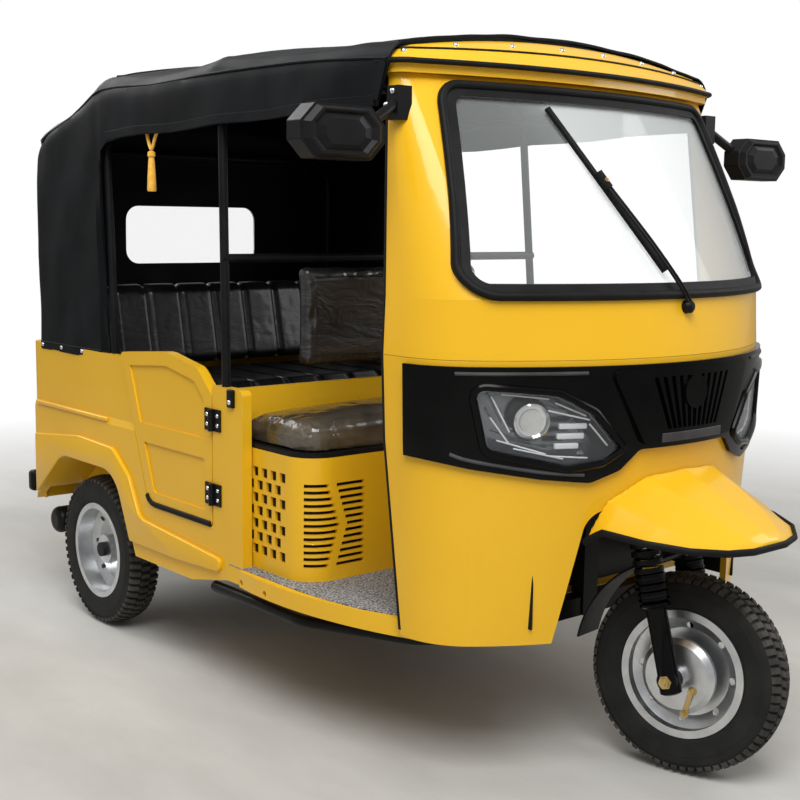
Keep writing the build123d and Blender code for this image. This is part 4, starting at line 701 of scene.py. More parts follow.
def canvas_section(back, rows, arc_steps, top_steps):
    """Points of one cross section, from the right hem over the roof to the left hem."""
    half, edge, crown, radius = canvas_row(back)
    y = behind(back)
    shoulder = edge - radius
    right = [Vector((-half, y, blend_value(CANVAS_BOTTOM, shoulder, step / rows))) for step in range(rows)]
    over = []
    for step in range(arc_steps):
        turn = math.pi - math.pi / 2 * step / arc_steps
        over.append(Vector((radius - half + radius * math.cos(turn), y, shoulder + radius * math.sin(turn))))
    flat = half - radius
    for step in range(top_steps + 1):
        x = blend_value(-flat, flat, step / top_steps)
        over.append(Vector((x, y, edge + (crown - edge) * (1 - (x / flat) ** 2))))
    for step in range(1, arc_steps + 1):
        turn = math.pi / 2 - math.pi / 2 * step / arc_steps
        over.append(Vector((half - radius + radius * math.cos(turn), y, shoulder + radius * math.sin(turn))))
    left = [Vector((-point[0], y, point[2])) for point in reversed(right)]
    return right, over, left


def canvas_slack(place, normal):
    """How far the cloth stands off its tight form: sag between the bows, folds and small ripples."""
    back = place[1] - FRONT_AXLE_Y
    amount = 0.0035 * noise.noise(place * 5.0) + 0.0018 * noise.noise(place * 13.0)
    if normal[2] > 0.5:
        for low, high in zip(BOW_BACKS, BOW_BACKS[1:]):
            if low < back < high:
                amount -= CANVAS_SAG * math.sin(math.pi * (back - low) / (high - low)) ** 2
        for bow in BOW_BACKS[1:]:
            amount += CANVAS_RIDGE * math.exp(-((back - bow) / CANVAS_RIDGE_WIDTH) ** 2)
    elif back > VALANCE_REAR[0]:
        wave = noise.noise(Vector((place[0] * 2.0, place[1] * 2.0, place[2] * 0.8)))
        slant = math.sin((place[1] + place[0] + place[2] * 0.45) * 26.0 + 3.0 * wave)
        amount += CANVAS_FOLD * slant * (0.4 + 0.6 * noise.noise(place * 2.2)) - 0.004
    else:
        ripple = math.sin(place[1] * 15.0 + 2.0 * noise.noise(place * 3.0))
        amount += 0.004 * ripple * (CAB_TOP - place[2]) * 5.0
    return amount


def prism(name, outline, axis, low, high):
    """A closed block with a flat outline, to cut with."""
    def lift(point, along):
        return (along, point[0], point[1]) if axis == "x" else (point[0], along, point[1])
    verts = [lift(point, along) for along in (low, high) for point in outline]
    return new_object(name, verts, ring_faces(2, len(outline)))


def rounded_rectangle(half, low, high, radius, steps=6):
    """Outline of an upright rectangle with round corners."""
    points = []
    corners = ((half - radius, high - radius, 0), (radius - half, high - radius, 90),
               (radius - half, low + radius, 180), (half - radius, low + radius, 270))
    for x, z, start in corners:
        for step in range(steps + 1):
            turn = math.radians(start + 90 * step / steps)
            points.append((x + radius * math.cos(turn), z + radius * math.sin(turn)))
    return points


def cut(obj, tool):
    """Take one closed shape out of another."""
    modifier = obj.modifiers.new("cut", "BOOLEAN")
    modifier.operation = "DIFFERENCE"
    modifier.solver = "EXACT"
    modifier.object = tool
    apply_modifiers(obj)
    bpy.data.objects.remove(tool)


def valance_height(back):
    """Height of the hood's lower side edge."""
    share = (back - VALANCE_FRONT[0]) / (VALANCE_REAR[0] - VALANCE_FRONT[0])
    return blend_value(VALANCE_FRONT[1], VALANCE_REAR[1], share) + 0.006 * math.sin(math.pi * share * 3) ** 2


def hood_net():
    """The tight form of the hood: roof and sides, then the back; with the number of points in a ring."""
    verts = []
    for index in range(CANVAS_RINGS + 1):
        back = blend_value(CANVAS_ROWS[0][0], CANVAS_REAR_BACK, 1 - (1 - index / CANVAS_RINGS) ** 1.25)
        right, over, left = canvas_section(back, CANVAS_SIDE_ROWS, CANVAS_ARC_STEPS, CANVAS_TOP_STEPS)
        verts += right + over + left
    size = len(right) + len(over) + len(left)
    faces = grid_faces(CANVAS_RINGS + 1, size)
    start = len(verts)
    for step in range(CANVAS_SIDE_ROWS + 1):
        share = step / CANVAS_SIDE_ROWS
        verts += [Vector((x, y, blend_value(CANVAS_BOTTOM, z, share))) for x, y, z in over]
    faces += grid_faces(CANVAS_SIDE_ROWS + 1, len(over), start)
    return verts, faces, size


def side_opening():
    """Outline of the hood's open sides."""
    front = behind(CANVAS_FRONT_BACK)
    rear = behind(VALANCE_REAR[0])
    foot = VALANCE_REAR[1]
    outline = [(front - 0.1, 0.5), (front - 0.1, CANVAS_FRONT_Z), (front - 0.006, CANVAS_FRONT_Z),
               (behind(VALANCE_FRONT[0]), VALANCE_FRONT[1])]
    for back in steps_between(VALANCE_FRONT[0], VALANCE_REAR[0], 11)[1:-1]:
        outline.append((behind(back), valance_height(back)))
    return outline + [(rear - 0.05, foot - 0.004), (rear - 0.01, foot - 0.03), (rear - 0.004, foot - 0.08),
                      (behind(OPENING_FOOT_BACK), 0.5)]


def make_canopy():
    """One continuous sheet: roof, sides and back, slack between the bows, with its openings."""
    verts, faces, size = hood_net()
    canopy = new_object("canopy_cloth", verts, faces)
    mesh = canopy.data
    if mesh.polygons[size // 2].normal[2] < 0:
        mesh.flip_normals()
    offsets = [canvas_slack(vert.co, vert.normal) for vert in mesh.vertices]
    normals = [vert.normal.copy() for vert in mesh.vertices]
    for vert, offset, normal in zip(mesh.vertices, offsets, normals):
        vert.co += normal * offset
    solid = canopy.modifiers.new("thickness", "SOLIDIFY")
    solid.thickness = CANVAS_THICKNESS
    solid.offset = -1.0
    apply_modifiers(canopy)
    cut(canopy, prism("side_opening", side_opening(), "x", -1.0, 1.0))
    window = rounded_rectangle(WINDOW_HALF, WINDOW_LOW, WINDOW_HIGH, WINDOW_CORNER)
    rear = behind(CANVAS_REAR_BACK)
    cut(canopy, prism("window_room", window, "y", rear - 0.1, rear + 0.1))
    finish_piece(canopy, "canvas")
    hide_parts("canopy")
    return canopy


canopy = make_canopy()

# Roof cap with its visor lip
CAP_ROWS = [
    # height at the middle, fall at the sides, half width, nose back, front radius
    (1.7306, 0.000, 0.598, 0.352, 1.65),
    (1.750, 0.000, 0.598, 0.353, 1.65),
    (1.752, 0.000, 0.604, 0.344, 1.65),
    (1.764, 0.002, 0.603, 0.346, 1.70),
    (1.772, 0.004, 0.598, 0.356, 1.75),
    (1.800, 0.014, 0.584, 0.388, 2.00),
    (1.822, 0.026, 0.566, 0.416, 2.40),
    (1.838, 0.038, 0.548, 0.450, 3.20),
    (1.847, 0.044, 0.540, 0.500, 6.00),
    (1.849, 0.046, 0.540, 0.528, 60.0),
]
CAP_CORNER = 0.05
CAP_REAR_BACK = 0.5295


def cap_line(height, fall, half, nose, radius, steps=28):
    """One line round the cap's front, from its right rear end to its left rear end."""
    reach = half - CAP_CORNER
    points = []
    for step in range(steps + 1):
        x = blend_value(0, reach, step / steps)
        points.append((x, nose + radius - math.sqrt(radius ** 2 - x ** 2)))
    start = points[-1][1]
    for step in range(1, 7):
        turn = math.pi / 2 * step / 6
        points.append((reach + CAP_CORNER * math.sin(turn), start + CAP_CORNER * (1 - math.cos(turn))))
    points.append((half, CAP_REAR_BACK))
    left = []
    for x, back in points:
        left.append(Vector((x, behind(min(back, CAP_REAR_BACK)), height - fall * (x / half) ** 2)))
    right = [Vector((-point[0], point[1], point[2])) for point in reversed(left[1:])]
    return right + left


def roof_cap():
    """The yellow cap over the windscreen, lower at its sides, closed under and behind."""
    lines = [cap_line(*row) for row in CAP_ROWS]
    size = len(lines[0])
    verts = [point for line in lines for point in line]
    faces = grid_faces(len(lines), size)
    faces.append(tuple(range(size)))
    ends = [row * size for row in range(len(lines))]
    top = [(len(lines) - 1) * size + index for index in range(size)]
    others = [row * size + size - 1 for row in reversed(range(len(lines)))]
    faces.append(tuple(ends[:-1] + top + others[1:]))
    cap = new_piece("roof_cap_shell", (verts, faces), "yellow_paint")
    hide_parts("roof_cap")
    return cap


def cap_trims(cap):
    """Rubber along the visor lip, a sealed seam above it and a row of rivets."""
    lip = cap_line(1.758, 0.001, 0.6055, 0.3435, 1.65)
    profile = [(0.009 * u, 0.007 * v) for u, v in round_profile(1.0, 10)]
    swept_piece("visor_band", [lip], profile, "rubber")
    seam = cap_line(1.803, 0.016, 0.583, 0.391, 2.03)
    swept_piece("cap_seam", [seam], round_profile(0.0035, 8), "rubber")
    places = []
    for x in (-0.42, -0.25, -0.08, 0.08, 0.25, 0.42):
        places.append(landing(cap, (x, FRONT_Y, 1.822 - 0.085 * x ** 2), -FORWARD))
    for side in (-1, 1):
        places.append(landing(cap, (side * OUTSIDE, behind(0.47), 1.782), LEFT * -side))
    studs("cap_rivets", places, BOLT_HEAD, made=CHROME)


# Hems, seams and studs on the hood
HEM_WIDTH = 0.026
HEM_INSET = 0.016
HEM_Z = CANVAS_BOTTOM + HEM_INSET
HEM_THICKNESS = 0.0025
PIPING_RADIUS = 0.0045
STUD_RADIUS = 0.007
STUD_HEIGHT = 0.005


def in_front(points, side=1):
    """Starts ahead of the vehicle for lines that run back to (x, z) places."""
    return [(side * x, FRONT_Y, z) for x, z in points]


def laid_line(obj, starts, direction, lift=0.0):
    """Points and directions where a row of straight lines meets an object."""
    found = [landing(obj, start, direction) for start in starts]
    return [place + normal * lift for place, normal in found], [normal for _, normal in found]


def laid_strips(name, obj, rows, profile, slot, made=None):
    """Strips laid on an object; rows pair a list of starts with a direction."""
    lines = []
    ups = {}
    for index, (starts, direction) in enumerate(rows):
        line, normals = laid_line(obj, starts, direction)
        lines.append(line)
        ups[index] = normals
    return swept_piece(name, lines, profile, slot, ups, made=made)


def hood_hems():
    """Doubled edges round the side openings and along the foot of the hood."""
    rows = []
    for side in (-1, 1):
        inward = LEFT * -side
        out = side * OUTSIDE
        backs = steps_between(VALANCE_FRONT[0] + 0.012, VALANCE_REAR[0] - 0.05, 40)
        rows.append(([(out, behind(back), valance_height(back) + 0.014) for back in backs], inward))
        edge_z = steps_between(VALANCE_FRONT[1] + HEM_INSET, CANVAS_FRONT_Z - 0.01, 10)
        slant = (CANVAS_FRONT_BACK - VALANCE_FRONT[0]) / (CANVAS_FRONT_Z - VALANCE_FRONT[1])
        edge_start = VALANCE_FRONT[0] + HEM_INSET
        rows.append(([(out, behind(edge_start + (z - VALANCE_FRONT[1]) * slant), z) for z in edge_z], inward))
        heights = steps_between(1.0, VALANCE_REAR[1] - 0.06, 24)
        lean = (VALANCE_REAR[0] - OPENING_FOOT_BACK) / (VALANCE_REAR[1] - 0.5)
        foot = behind(OPENING_FOOT_BACK) + HEM_INSET
        rows.append(([(out, foot + (z - 0.5) * lean, z) for z in heights], inward))
        foot_backs = steps_between(OPENING_FOOT_BACK + 0.03, CANVAS_REAR_BACK - 0.02, 24)
        rows.append(([(out, behind(back), HEM_Z) for back in foot_backs], inward))
    across_x = steps_between(-0.59, 0.59, 40)
    rows.append(([(x, REAR_Y, HEM_Z) for x in across_x], FORWARD))
    return laid_strips("hood_hems", canopy, rows, flat_profile(HEM_WIDTH, HEM_THICKNESS), "canvas")


def hood_piping():
    """Corded seams along the roof's edges and over the rear bow."""
    rows = []
    backs = steps_between(CANVAS_FRONT_BACK + 0.006, CANVAS_REAR_BACK - 0.07, 70)
    for side in (-1, 1):
        starts = [(side * OUTSIDE, behind(back), canvas_row(back)[1] - 0.046) for back in backs]
        rows.append((starts, LEFT * -side))
    for back in (1.896, 1.926, CANVAS_FRONT_BACK + 0.012):
        rows.append(([(x, behind(back), 2.4) for x in steps_between(-0.57, 0.57, 50)], -UP))
    return laid_strips("hood_piping", canopy, rows, round_profile(PIPING_RADIUS, 8), "canvas")


def hood_studs():
    """Press studs that hold the hood's foot to the tub."""
    places = []
    for side in (-1, 1):
        for back in steps_between(1.90, 2.34, 4):
            start = (side * OUTSIDE, behind(back), HEM_Z)
            places.append(landing(canopy, start, LEFT * -side))
    for x in steps_between(-0.56, 0.56, 8):
        places.append(landing(canopy, (x, REAR_Y, HEM_Z), FORWARD))
    lifted = [(place + normal * HEM_THICKNESS, normal) for place, normal in places]
    return studs("hood_studs", lifted, dome(STUD_RADIUS, STUD_HEIGHT))


def window_border():
    """Sewn border that holds the clear rear window."""
    low = WINDOW_LOW - WINDOW_MARGIN
    high = WINDOW_HIGH + WINDOW_MARGIN
    outline = rounded_rectangle(WINDOW_HALF + WINDOW_MARGIN, low, high, WINDOW_CORNER, 8)
    line, normals = laid_line(canopy, [(x, REAR_Y, z) for x, z in outline], FORWARD)
    return new_piece("window_border", sweep(line, flat_profile(0.03, 0.003), normals, closed=True), "canvas")


cap_trims(roof_cap())
hood_details = [hood_hems(), hood_piping(), window_border()]
hood_studs()

# Tyres with their treads
CASTER = math.radians(16)
STEER_AXIS = Vector((0, math.sin(CASTER), math.cos(CASTER)))
STEER_POINT = Vector((0, behind(0.037), TYRE_RADIUS))
STEER = (Matrix.Translation(STEER_POINT) @ Matrix.Rotation(STEER_REST, 4, STEER_AXIS)
         @ Matrix.Translation(-STEER_POINT))
FRONT_WHEEL = STEER @ Matrix.Translation((0, FRONT_AXLE_Y, TYRE_RADIUS))
REAR_AXLE_BACK = 2.010
REAR_WHEEL_X = 0.565
TREAD_HALF = 0.046
TREAD_DROP = 0.009
TREAD_DEPTH = 0.0075
LUG_TAPER = 0.0016
TYRE_SIDES = 112
CARCASS = [
    # half width, radius, from the rim to the tread's edge
    (0.0440, 0.1530), (0.0456, 0.1625), (0.0490, 0.1660), (0.0510, 0.1720), (0.0512, 0.1745),
    (0.0522, 0.1755), (0.0530, 0.1860), (0.0537, 0.2000), (0.0538, 0.2100), (0.0528, 0.2112),
    (0.0526, 0.2140), (0.0520, 0.2230), (0.0505, 0.2310), (0.0480, 0.2355),
]
FRONT_LUGS = [
    # low and high place across, share of the pitch to start at, lean
    (-0.0520, -0.0285, 0.05, 0.012),
    (-0.0260, -0.0018, 0.50, 0.030),
    (0.0018, 0.0260, 0.00, -0.030),
    (0.0285, 0.0520, 0.45, -0.012),
]
REAR_LUGS = [
    # low and high place across, share of the pitch to start at, lean
    (-0.0525, -0.0180, 0.00, 0.012),
    (-0.0150, 0.0150, 0.40, 0.0),
    (0.0180, 0.0525, 0.00, -0.012),
]


def tread_radius(x):
    """Radius of the tread's crown at a place across the tyre."""
    return TYRE_RADIUS - TREAD_DROP * (x / TREAD_HALF) ** 2


def lug(low, high, start, end, lean):
    """One tread block about the X axis, a little narrower at its top."""
    columns = 4
    verts = []
    faces = []
    for drop, shrink in ((TREAD_DEPTH + 0.002, 0.0), (0.0, LUG_TAPER)):
        for column in range(columns + 1):
            share = column / columns
            x = blend_value(low + shrink, high - shrink, share)
            radius = tread_radius(x) - drop
            inset = shrink / TYRE_RADIUS
            for turn in (start + inset + lean * share, end - inset + lean * share):
                verts.append(Vector((x, radius * math.cos(turn), radius * math.sin(turn))))
    top = 2 * (columns + 1)
    for column in range(columns):
        near = 2 * column
        far = near + 2
        faces.append((top + near, top + far, top + far + 1, top + near + 1))
        faces.append((near, far, top + far, top + near))
        faces.append((near + 1, top + near + 1, top + far + 1, far + 1))
    last = 2 * columns
    faces.append((0, top, top + 1, 1))
    faces.append((last, last + 1, top + last + 1, top + last))
    return verts, faces


def tyre_shape(lugs, pitches, fill):
    """A tyre about the X axis: its carcass, and its tread blocks."""
    profile = list(CARCASS)
    for x in (0.045, 0.034, 0.017, 0.0):
        profile.append((x, tread_radius(x) - TREAD_DEPTH))
    ring = profile + [(-x, radius) for x, radius in reversed(profile[:-1])]
    verts = []
    for x, radius in ring:
        for index in range(TYRE_SIDES):
            turn = 2 * math.pi * index / TYRE_SIDES
            verts.append(Vector((x, radius * math.cos(turn), radius * math.sin(turn))))
    faces = ring_faces(len(ring), TYRE_SIDES, closed=True)
    shapes = []
    pitch = 2 * math.pi / pitches
    for low, high, phase, lean in lugs:
        for index in range(pitches):
            start = pitch * (index + phase)
            shapes.append(lug(low, high, start, start + pitch * fill, lean))
    return (verts, faces), joined(shapes)


def make_tyres():
    """The three tyres in their places."""
    rear_y = behind(REAR_AXLE_BACK)
    rows = [("front_tyre", "front_wheel", FRONT_WHEEL, FRONT_LUGS, 66, 0.74)]
    for side, name in SIDES:
        place = Matrix.Translation((side * REAR_WHEEL_X, rear_y, TYRE_RADIUS))
        rows.append(("rear_tyre_" + name, "rear_wheel_" + name, place, REAR_LUGS, 58, 0.60))
    for node, body, place, lugs, count, fill in rows:
        carcass, blocks = tyre_shape(lugs, count, fill)
        piece = new_piece(node + "_carcass", moved(carcass, place), "tyre", body)
        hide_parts(node)
        new_piece(node + "_tread", moved(blocks, place), "tyre", body, TREAD, smooth=False)


make_tyres()

# Cushions
CUSHION_VOXEL = 0.0065
CUSHION_FRAMES = 16
CUSHION_PRESSURE = 4.0
FINE_FOLDS = 0.0015
LOOSE_FOLDS = 0.004
PLEAT_PITCH = 0.13
PLEAT_WIDTH = 0.009
PLEAT_DEPTH = 0.011


def stuffed(name, shape, node, body, cap, fill, shaping, made):
    """A seat pad: remeshed, swollen by a short cloth run, held to its node's room, then shaped."""
    pad = new_object(name, *shape)
    remesh(pad, CUSHION_VOXEL)
    start = [vert.co.copy() for vert in pad.data.vertices]
    cloth = pad.modifiers.new("stuffing", "CLOTH")
    cloth.settings.use_pressure = True
    cloth.settings.uniform_pressure_force = CUSHION_PRESSURE
    cloth.settings.effector_weights.gravity = 0
    for step in range(1, CUSHION_FRAMES + 1):
        scene.frame_set(step)
    apply_modifiers(pad)
    scene.frame_set(1)
    for vert, place in zip(pad.data.vertices, start):
        move = vert.co - place
        if move.length > cap:
            vert.co = place + move * (cap / move.length)
    pad.data.update()
    normals = [vert.normal.copy() for vert in pad.data.vertices]
    low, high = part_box(node)
    for vert, normal in zip(pad.data.vertices, normals):
        vert.co = shaping(vert.co.copy(), normal)
        vert.co = Vector([min(max(vert.co[k], low[k]), high[k] + 0.004) for k in range(3)])
    finish_piece(pad, "dark_vinyl", body, made)
    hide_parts(node)
    return pad


def inset_box(node, inset, edge):
    """A soft-edged box a little smaller than a node's own box."""
    low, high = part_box(node)
    return soft_box([value + inset for value in low], [value - inset for value in high], edge)


def film_folds(place, normal, size):
    """Move a point by the small sharp folds of loose film."""
    fold = abs(noise.noise(place * 9.0)) + 0.5 * abs(noise.noise(place * 21.0 + Vector((3, 1, 2))))
    return place + normal * size * (fold - 0.35)


def pleat_depth(x):
    """Depth of the nearest of a row of sewn channels."""
    nearest = x - PLEAT_PITCH * round(x / PLEAT_PITCH)
    return PLEAT_DEPTH * math.exp(-(nearest / PLEAT_WIDTH) ** 2)


def bench_seat_form(place, normal):
    """Sewn channels that run fore and aft, and a rolled front edge."""
    place = film_folds(place, normal, FINE_FOLDS)
    if normal[2] > 0.3 or normal[1] < -0.5:
        place = place - normal * pleat_depth(place[0])
    return place


BENCH_BACK_LEAN = 0.066
BENCH_BACK_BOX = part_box("bench_back")
BACKREST_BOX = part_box("driver_backrest")


def bench_back_form(place, normal):
    """Upright sewn channels on the leaning back."""
    low, high = BENCH_BACK_BOX
    place = film_folds(place, normal, FINE_FOLDS)
    if normal[1] < -0.3 or normal[2] > 0.5:
        place = place - normal * pleat_depth(place[0])
    share = (place[2] - low[2]) / (high[2] - low[2])
    place[1] += BENCH_BACK_LEAN * share
    return place


def bench_back_shape():
    """The back pad before it leans."""
    low, high = BENCH_BACK_BOX
    inset = 0.008
    return soft_box([value + inset for value in low],
                    [high[0] - inset, high[1] - BENCH_BACK_LEAN - inset, high[2] - inset], 0.028)


def backrest_form(place, normal):
    """A plain pad under film with a seam round its face."""
    low, high = BACKREST_BOX
    place = film_folds(place, normal, LOOSE_FOLDS)
    margin = min(place[0] - low[0], high[0] - place[0], place[2] - low[2], high[2] - place[2])
    if abs(normal[1]) > 0.5:
        place = place - normal * 0.006 * math.exp(-((margin - 0.04) / 0.007) ** 2)
    return place


CUSHION_HALF = 0.602
CUSHION_FRONT_BACK = 0.814
CUSHION_REAR_BACK = 1.1337
CUSHION_CORNER = 0.085
CUSHION_LOW = 0.7546
CUSHION_EDGE = 0.8186
CUSHION_CROWN = 0.030


def rounded_outline(rows, steps=6):
    """Points of a closed outline from (u, v, corner radius) rows."""
    points = []
    count = len(rows)
    for index, (u, v, radius) in enumerate(rows):
        corner = Vector((u, v))
        before = (Vector(rows[index - 1][:2]) - corner).normalized()
        after = (Vector(rows[(index + 1) % count][:2]) - corner).normalized()
        half_angle = before.angle(after) / 2
        if radius <= 0:
            points.append((u, v))
            continue
        reach = radius / math.tan(half_angle)
        middle = corner + (before + after).normalized() * radius / math.sin(half_angle)
        start = corner + before * reach - middle
        end = corner + after * reach - middle
        turn = start.angle_signed(end)
        for step in range(steps + 1):
            angle = -turn * step / steps
            points.append((middle[0] + start[0] * math.cos(angle) - start[1] * math.sin(angle),
                           middle[1] + start[0] * math.sin(angle) + start[1] * math.cos(angle)))
    return points


def driver_cushion_shape():
    """The seat pad's plan with round front corners, drawn up to its edge height."""
    inset = 0.007
    half = CUSHION_HALF - inset
    front = behind(CUSHION_FRONT_BACK) + inset
    rear = behind(CUSHION_REAR_BACK) - inset
    outline = rounded_outline([(half, rear, 0.02), (half, front, CUSHION_CORNER),
                               (-half, front, CUSHION_CORNER), (-half, rear, 0.02)], 8)
    rings = [(CUSHION_LOW, 0.0), (CUSHION_EDGE - 0.022, 0.0), (CUSHION_EDGE - 0.008, 0.008),
             (CUSHION_EDGE, 0.026)]
    verts = []
    middle_y = (front + rear) / 2
    for z, shrink in rings:
        for x, y in outline:
            inward = shrink * (y - middle_y) / (rear - middle_y)
            verts.append(Vector((x * (1 - shrink / half), y - inward, z)))
    return verts, ring_faces(len(rings), len(outline))


def driver_cushion_form(place, normal):
    """Crowned top, with a welt seam round the side."""
    middle_y = behind((CUSHION_FRONT_BACK + CUSHION_REAR_BACK) / 2)
    half_depth = (CUSHION_REAR_BACK - CUSHION_FRONT_BACK) / 2
    u = min(abs(place[0]) / CUSHION_HALF, 1.0)
    v = min(abs(place[1] - middle_y) / half_depth, 1.0)
    if normal[2] > 0.2:
        place[2] += CUSHION_CROWN * (1 - u ** 3) * (1 - v ** 2.5)
    place = film_folds(place, normal, LOOSE_FOLDS)
    if normal[2] < 0.7:
        place = place - normal * 0.004 * math.exp(-((place[2] - CUSHION_EDGE + 0.016) / 0.005) ** 2)
    return place


PADS = [
    # name, shape, node, body, most swelling, fill, shaping, look
    ("bench_cushion_pad", inset_box("bench_cushion", 0.008, 0.034), "bench_cushion", "chassis", 0.012, 0.8,
     bench_seat_form, LOOKS["dark_vinyl"]),
    ("bench_back_pad", bench_back_shape(), "bench_back", "chassis", 0.012, 0.8,
     bench_back_form, LOOKS["dark_vinyl"]),
    ("backrest_pad", inset_box("driver_backrest", 0.007, 0.024), "driver_backrest", "chassis", 0.01, 0.8,
     backrest_form, FILM_VINYL),
    # The driver's pad: its light warm colour is a painted reflection of the yellow cab in the film
    ("driver_cushion_pad", driver_cushion_shape(), "driver_cushion", "seat_lid", 0.01, 0.85,
     driver_cushion_form, SEAT_VINYL_PAINTED_REFLECTION),
]
for pad_row in PADS:
    stuffed(*pad_row)

# Trims on the cab, the screen and the mudguard
CAB_EDGE_ROWS = [
    # height, half width, rear edge back
    (0.375, 0.601, 0.4212),
    (0.850, 0.625, 0.460),
    (1.060, 0.630, 0.465),
    (1.200, 0.622, 0.468),
    (1.722, 0.5856, 0.5113),
]
GUARD_EDGE_ROWS = [
    # back, half width, lower edge height
    (0.105, 0.2888, 0.613),
    (0.050, 0.286, 0.646),
    (-0.060, 0.258, 0.636),
    (-0.150, 0.206, 0.628),
    (-0.205, 0.135, 0.623),
    (-0.226, 0.064, 0.621),
]
GUARD_VOXEL = 0.0045
GUARD_SOFTENING = 14
GRILLE_STRIP_Z = 0.864
GRILLE_STRIP_HALF = 0.115
SCREEN_ROWS = [
    # half width, height, corner radius
    (0.494, 1.708, 0.058),
    (0.581, 1.209, 0.066),
]
LAMP_ROWS = [
    # half width, height, corner radius
    (0.556, 0.998, 0.022),
    (0.384, 0.981, 0.040),
    (0.300, 0.936, 0.040),
    (0.221, 0.846, 0.010),
    (0.277, 0.813, 0.040),
    (0.355, 0.803, 0.040),
    (0.524, 0.845, 0.026),
]


def cab_edge_trim():
    """Rubber edging down the cab's rear edges."""
    lines = []
    for side in (-1, 1):
        line = [Vector((side * (half - 0.009), behind(back) + 0.001, z)) for z, half, back in CAB_EDGE_ROWS]
        lines.append(dense_line(line, 8))
    profile = [(0.011 * u, 0.010 * v) for u, v in round_profile(1.0, 12)]
    return swept_piece("cab_edge_trim", lines, profile, "rubber", LEFT)


def guard_edge_trim():
    """Rubber edging round the mudguard's lower edge."""
    half = [Vector((-x, behind(back), z)) for back, x, z in GUARD_EDGE_ROWS]
    other = [Vector((-point[0], point[1], point[2])) for point in reversed(half)]
    line = dense_line(half + other, 6)
    profile = [(0.0065 * u, 0.009 * v) for u, v in round_profile(1.0, 10)]
    return swept_piece("guard_edge_trim", [line], profile, "rubber")


def densely(points, spacing):
    """Points along a closed outline no further apart than the spacing."""
    dense = []
    for index, point in enumerate(points):
        start = Vector(point)
        end = Vector(points[(index + 1) % len(points)])
        count = max(1, math.ceil((end - start).length / spacing))
        dense += [start.lerp(end, step / count) for step in range(count)]
    return dense


def mirrored_rows(rows):
    """A full outline from the rows of its one half."""
    return list(rows) + [(-u, v, radius) for u, v, radius in reversed(rows)]


def screen_bead():
    """Round outer bead of the windscreen's rubber."""
    outline = densely(rounded_outline(mirrored_rows(SCREEN_ROWS), 8), 0.03)
    line, normals = laid_line(nodes["screen_gasket"], in_front(outline), -FORWARD)
    return new_piece("screen_bead", sweep(line, round_profile(0.011, 12), normals, closed=True), "rubber")


def scaled_about(points, share):
    """An outline drawn larger or smaller about its middle."""
    middle = sum((Vector(point) for point in points), Vector((0, 0))) / len(points)
    return [middle + (Vector(point) - middle) * share for point in points]


def lamp_bezels():
    """Raised rims round both headlamps."""
    shapes = []
    outline = densely(scaled_about(rounded_outline(LAMP_ROWS, 6), 1.045), 0.02)
    for side in (-1, 1):
        line, normals = laid_line(nodes["nose_fascia"], in_front(outline, side), -FORWARD)
        shapes.append(sweep(line, round_profile(0.0095, 10), normals, closed=True))
    return new_piece("lamp_bezels", joined(shapes), "gloss_black")


def smooth_guard():
    """The mudguard with its creases softened, as pressed steel."""
    guard = bpy.data.objects.new("mudguard_pressing", nodes["front_mudguard"].data.copy())
    scene.collection.objects.link(guard)
    remesh(guard, GUARD_VOXEL)
    soften = guard.modifiers.new("soften", "SMOOTH")
    soften.factor = 0.5
    soften.iterations = GUARD_SOFTENING
    apply_modifiers(guard)
    finish_piece(guard, "yellow_paint")
    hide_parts("front_mudguard")


def grille_strip():
    """A dark grey strip under the grille."""
    across = steps_between(-GRILLE_STRIP_HALF, GRILLE_STRIP_HALF, 12)
    starts = in_front([(x, GRILLE_STRIP_Z) for x in across])
    profile = flat_profile(0.022, 0.003)
    rows = [(starts, -FORWARD)]
    return laid_strips("grille_strip", nodes["grille_panel"], rows, profile, "gloss_black", GREY_TRIM_AND_PAINTED_SHEEN)


FASCIA_RIMS = [
    # half width and height along each raised edge
    [(0.590, 1.030), (0.450, 1.030), (0.320, 1.030)],
    [(0.590, 0.838), (0.550, 0.822), (0.415, 0.795), (0.315, 0.784)],
]


def fascia_rims():
    """Raised edges along the top and the foot of the nose fascia, in grey as a painted highlight of the sheen
    on the fascia's rounded edges.
    """
    rows = []
    for rim in FASCIA_RIMS:
        for side in (-1, 1):
            rows.append((smooth_line(in_front(rim, side), 8), -FORWARD))
    profile = round_profile(0.0045, 8)
    return laid_strips("fascia_rims", nodes["nose_fascia"], rows, profile, "gloss_black", GREY_TRIM_AND_PAINTED_SHEEN)


def pole_feet():
    """Clamps with a bolt at the feet of the hood's side poles."""
    face_x = SIDE_X + 0.009
    foot = soft_box((SIDE_X - 0.004, behind(1.098), 0.852), (face_x, behind(1.130), 0.904), 0.004)
    new_piece("pole_feet", both_sides(foot), "black_paint")
    places = [(Vector((side * face_x, behind(1.114), 0.868)), LEFT * side) for side in (-1, 1)]
    studs("pole_foot_bolts", places, BOLT_HEAD, made=CHROME)


smooth_guard()
cab_edge_trim()
guard_edge_trim()
screen_bead()
lamp_bezels()
grille_strip()
fascia_rims()
pole_feet()

# Inside the headlamps
PROJECTOR_PLACE = (0.432, 0.912)
PROJECTOR_RADIUS = 0.040
PROJECTOR_DEPTH = 0.05
BAR_DEPTH = 0.026
GLINT_DEPTH = 0.012
GLINT_RADIUS = 0.0022
PROJECTOR_RING = [
    # along the lamp's axis, how much wider than the projector
    (0.0, 0.012), (0.016, 0.010), (0.030, 0.004), (0.032, 0.0), (0.022, -0.004),
]
LED_BARS = [
    # low and high half width, low and high height
    (0.300, 0.372, 0.892, 0.906),
    (0.306, 0.376, 0.868, 0.882),
    (0.318, 0.380, 0.844, 0.858),
]


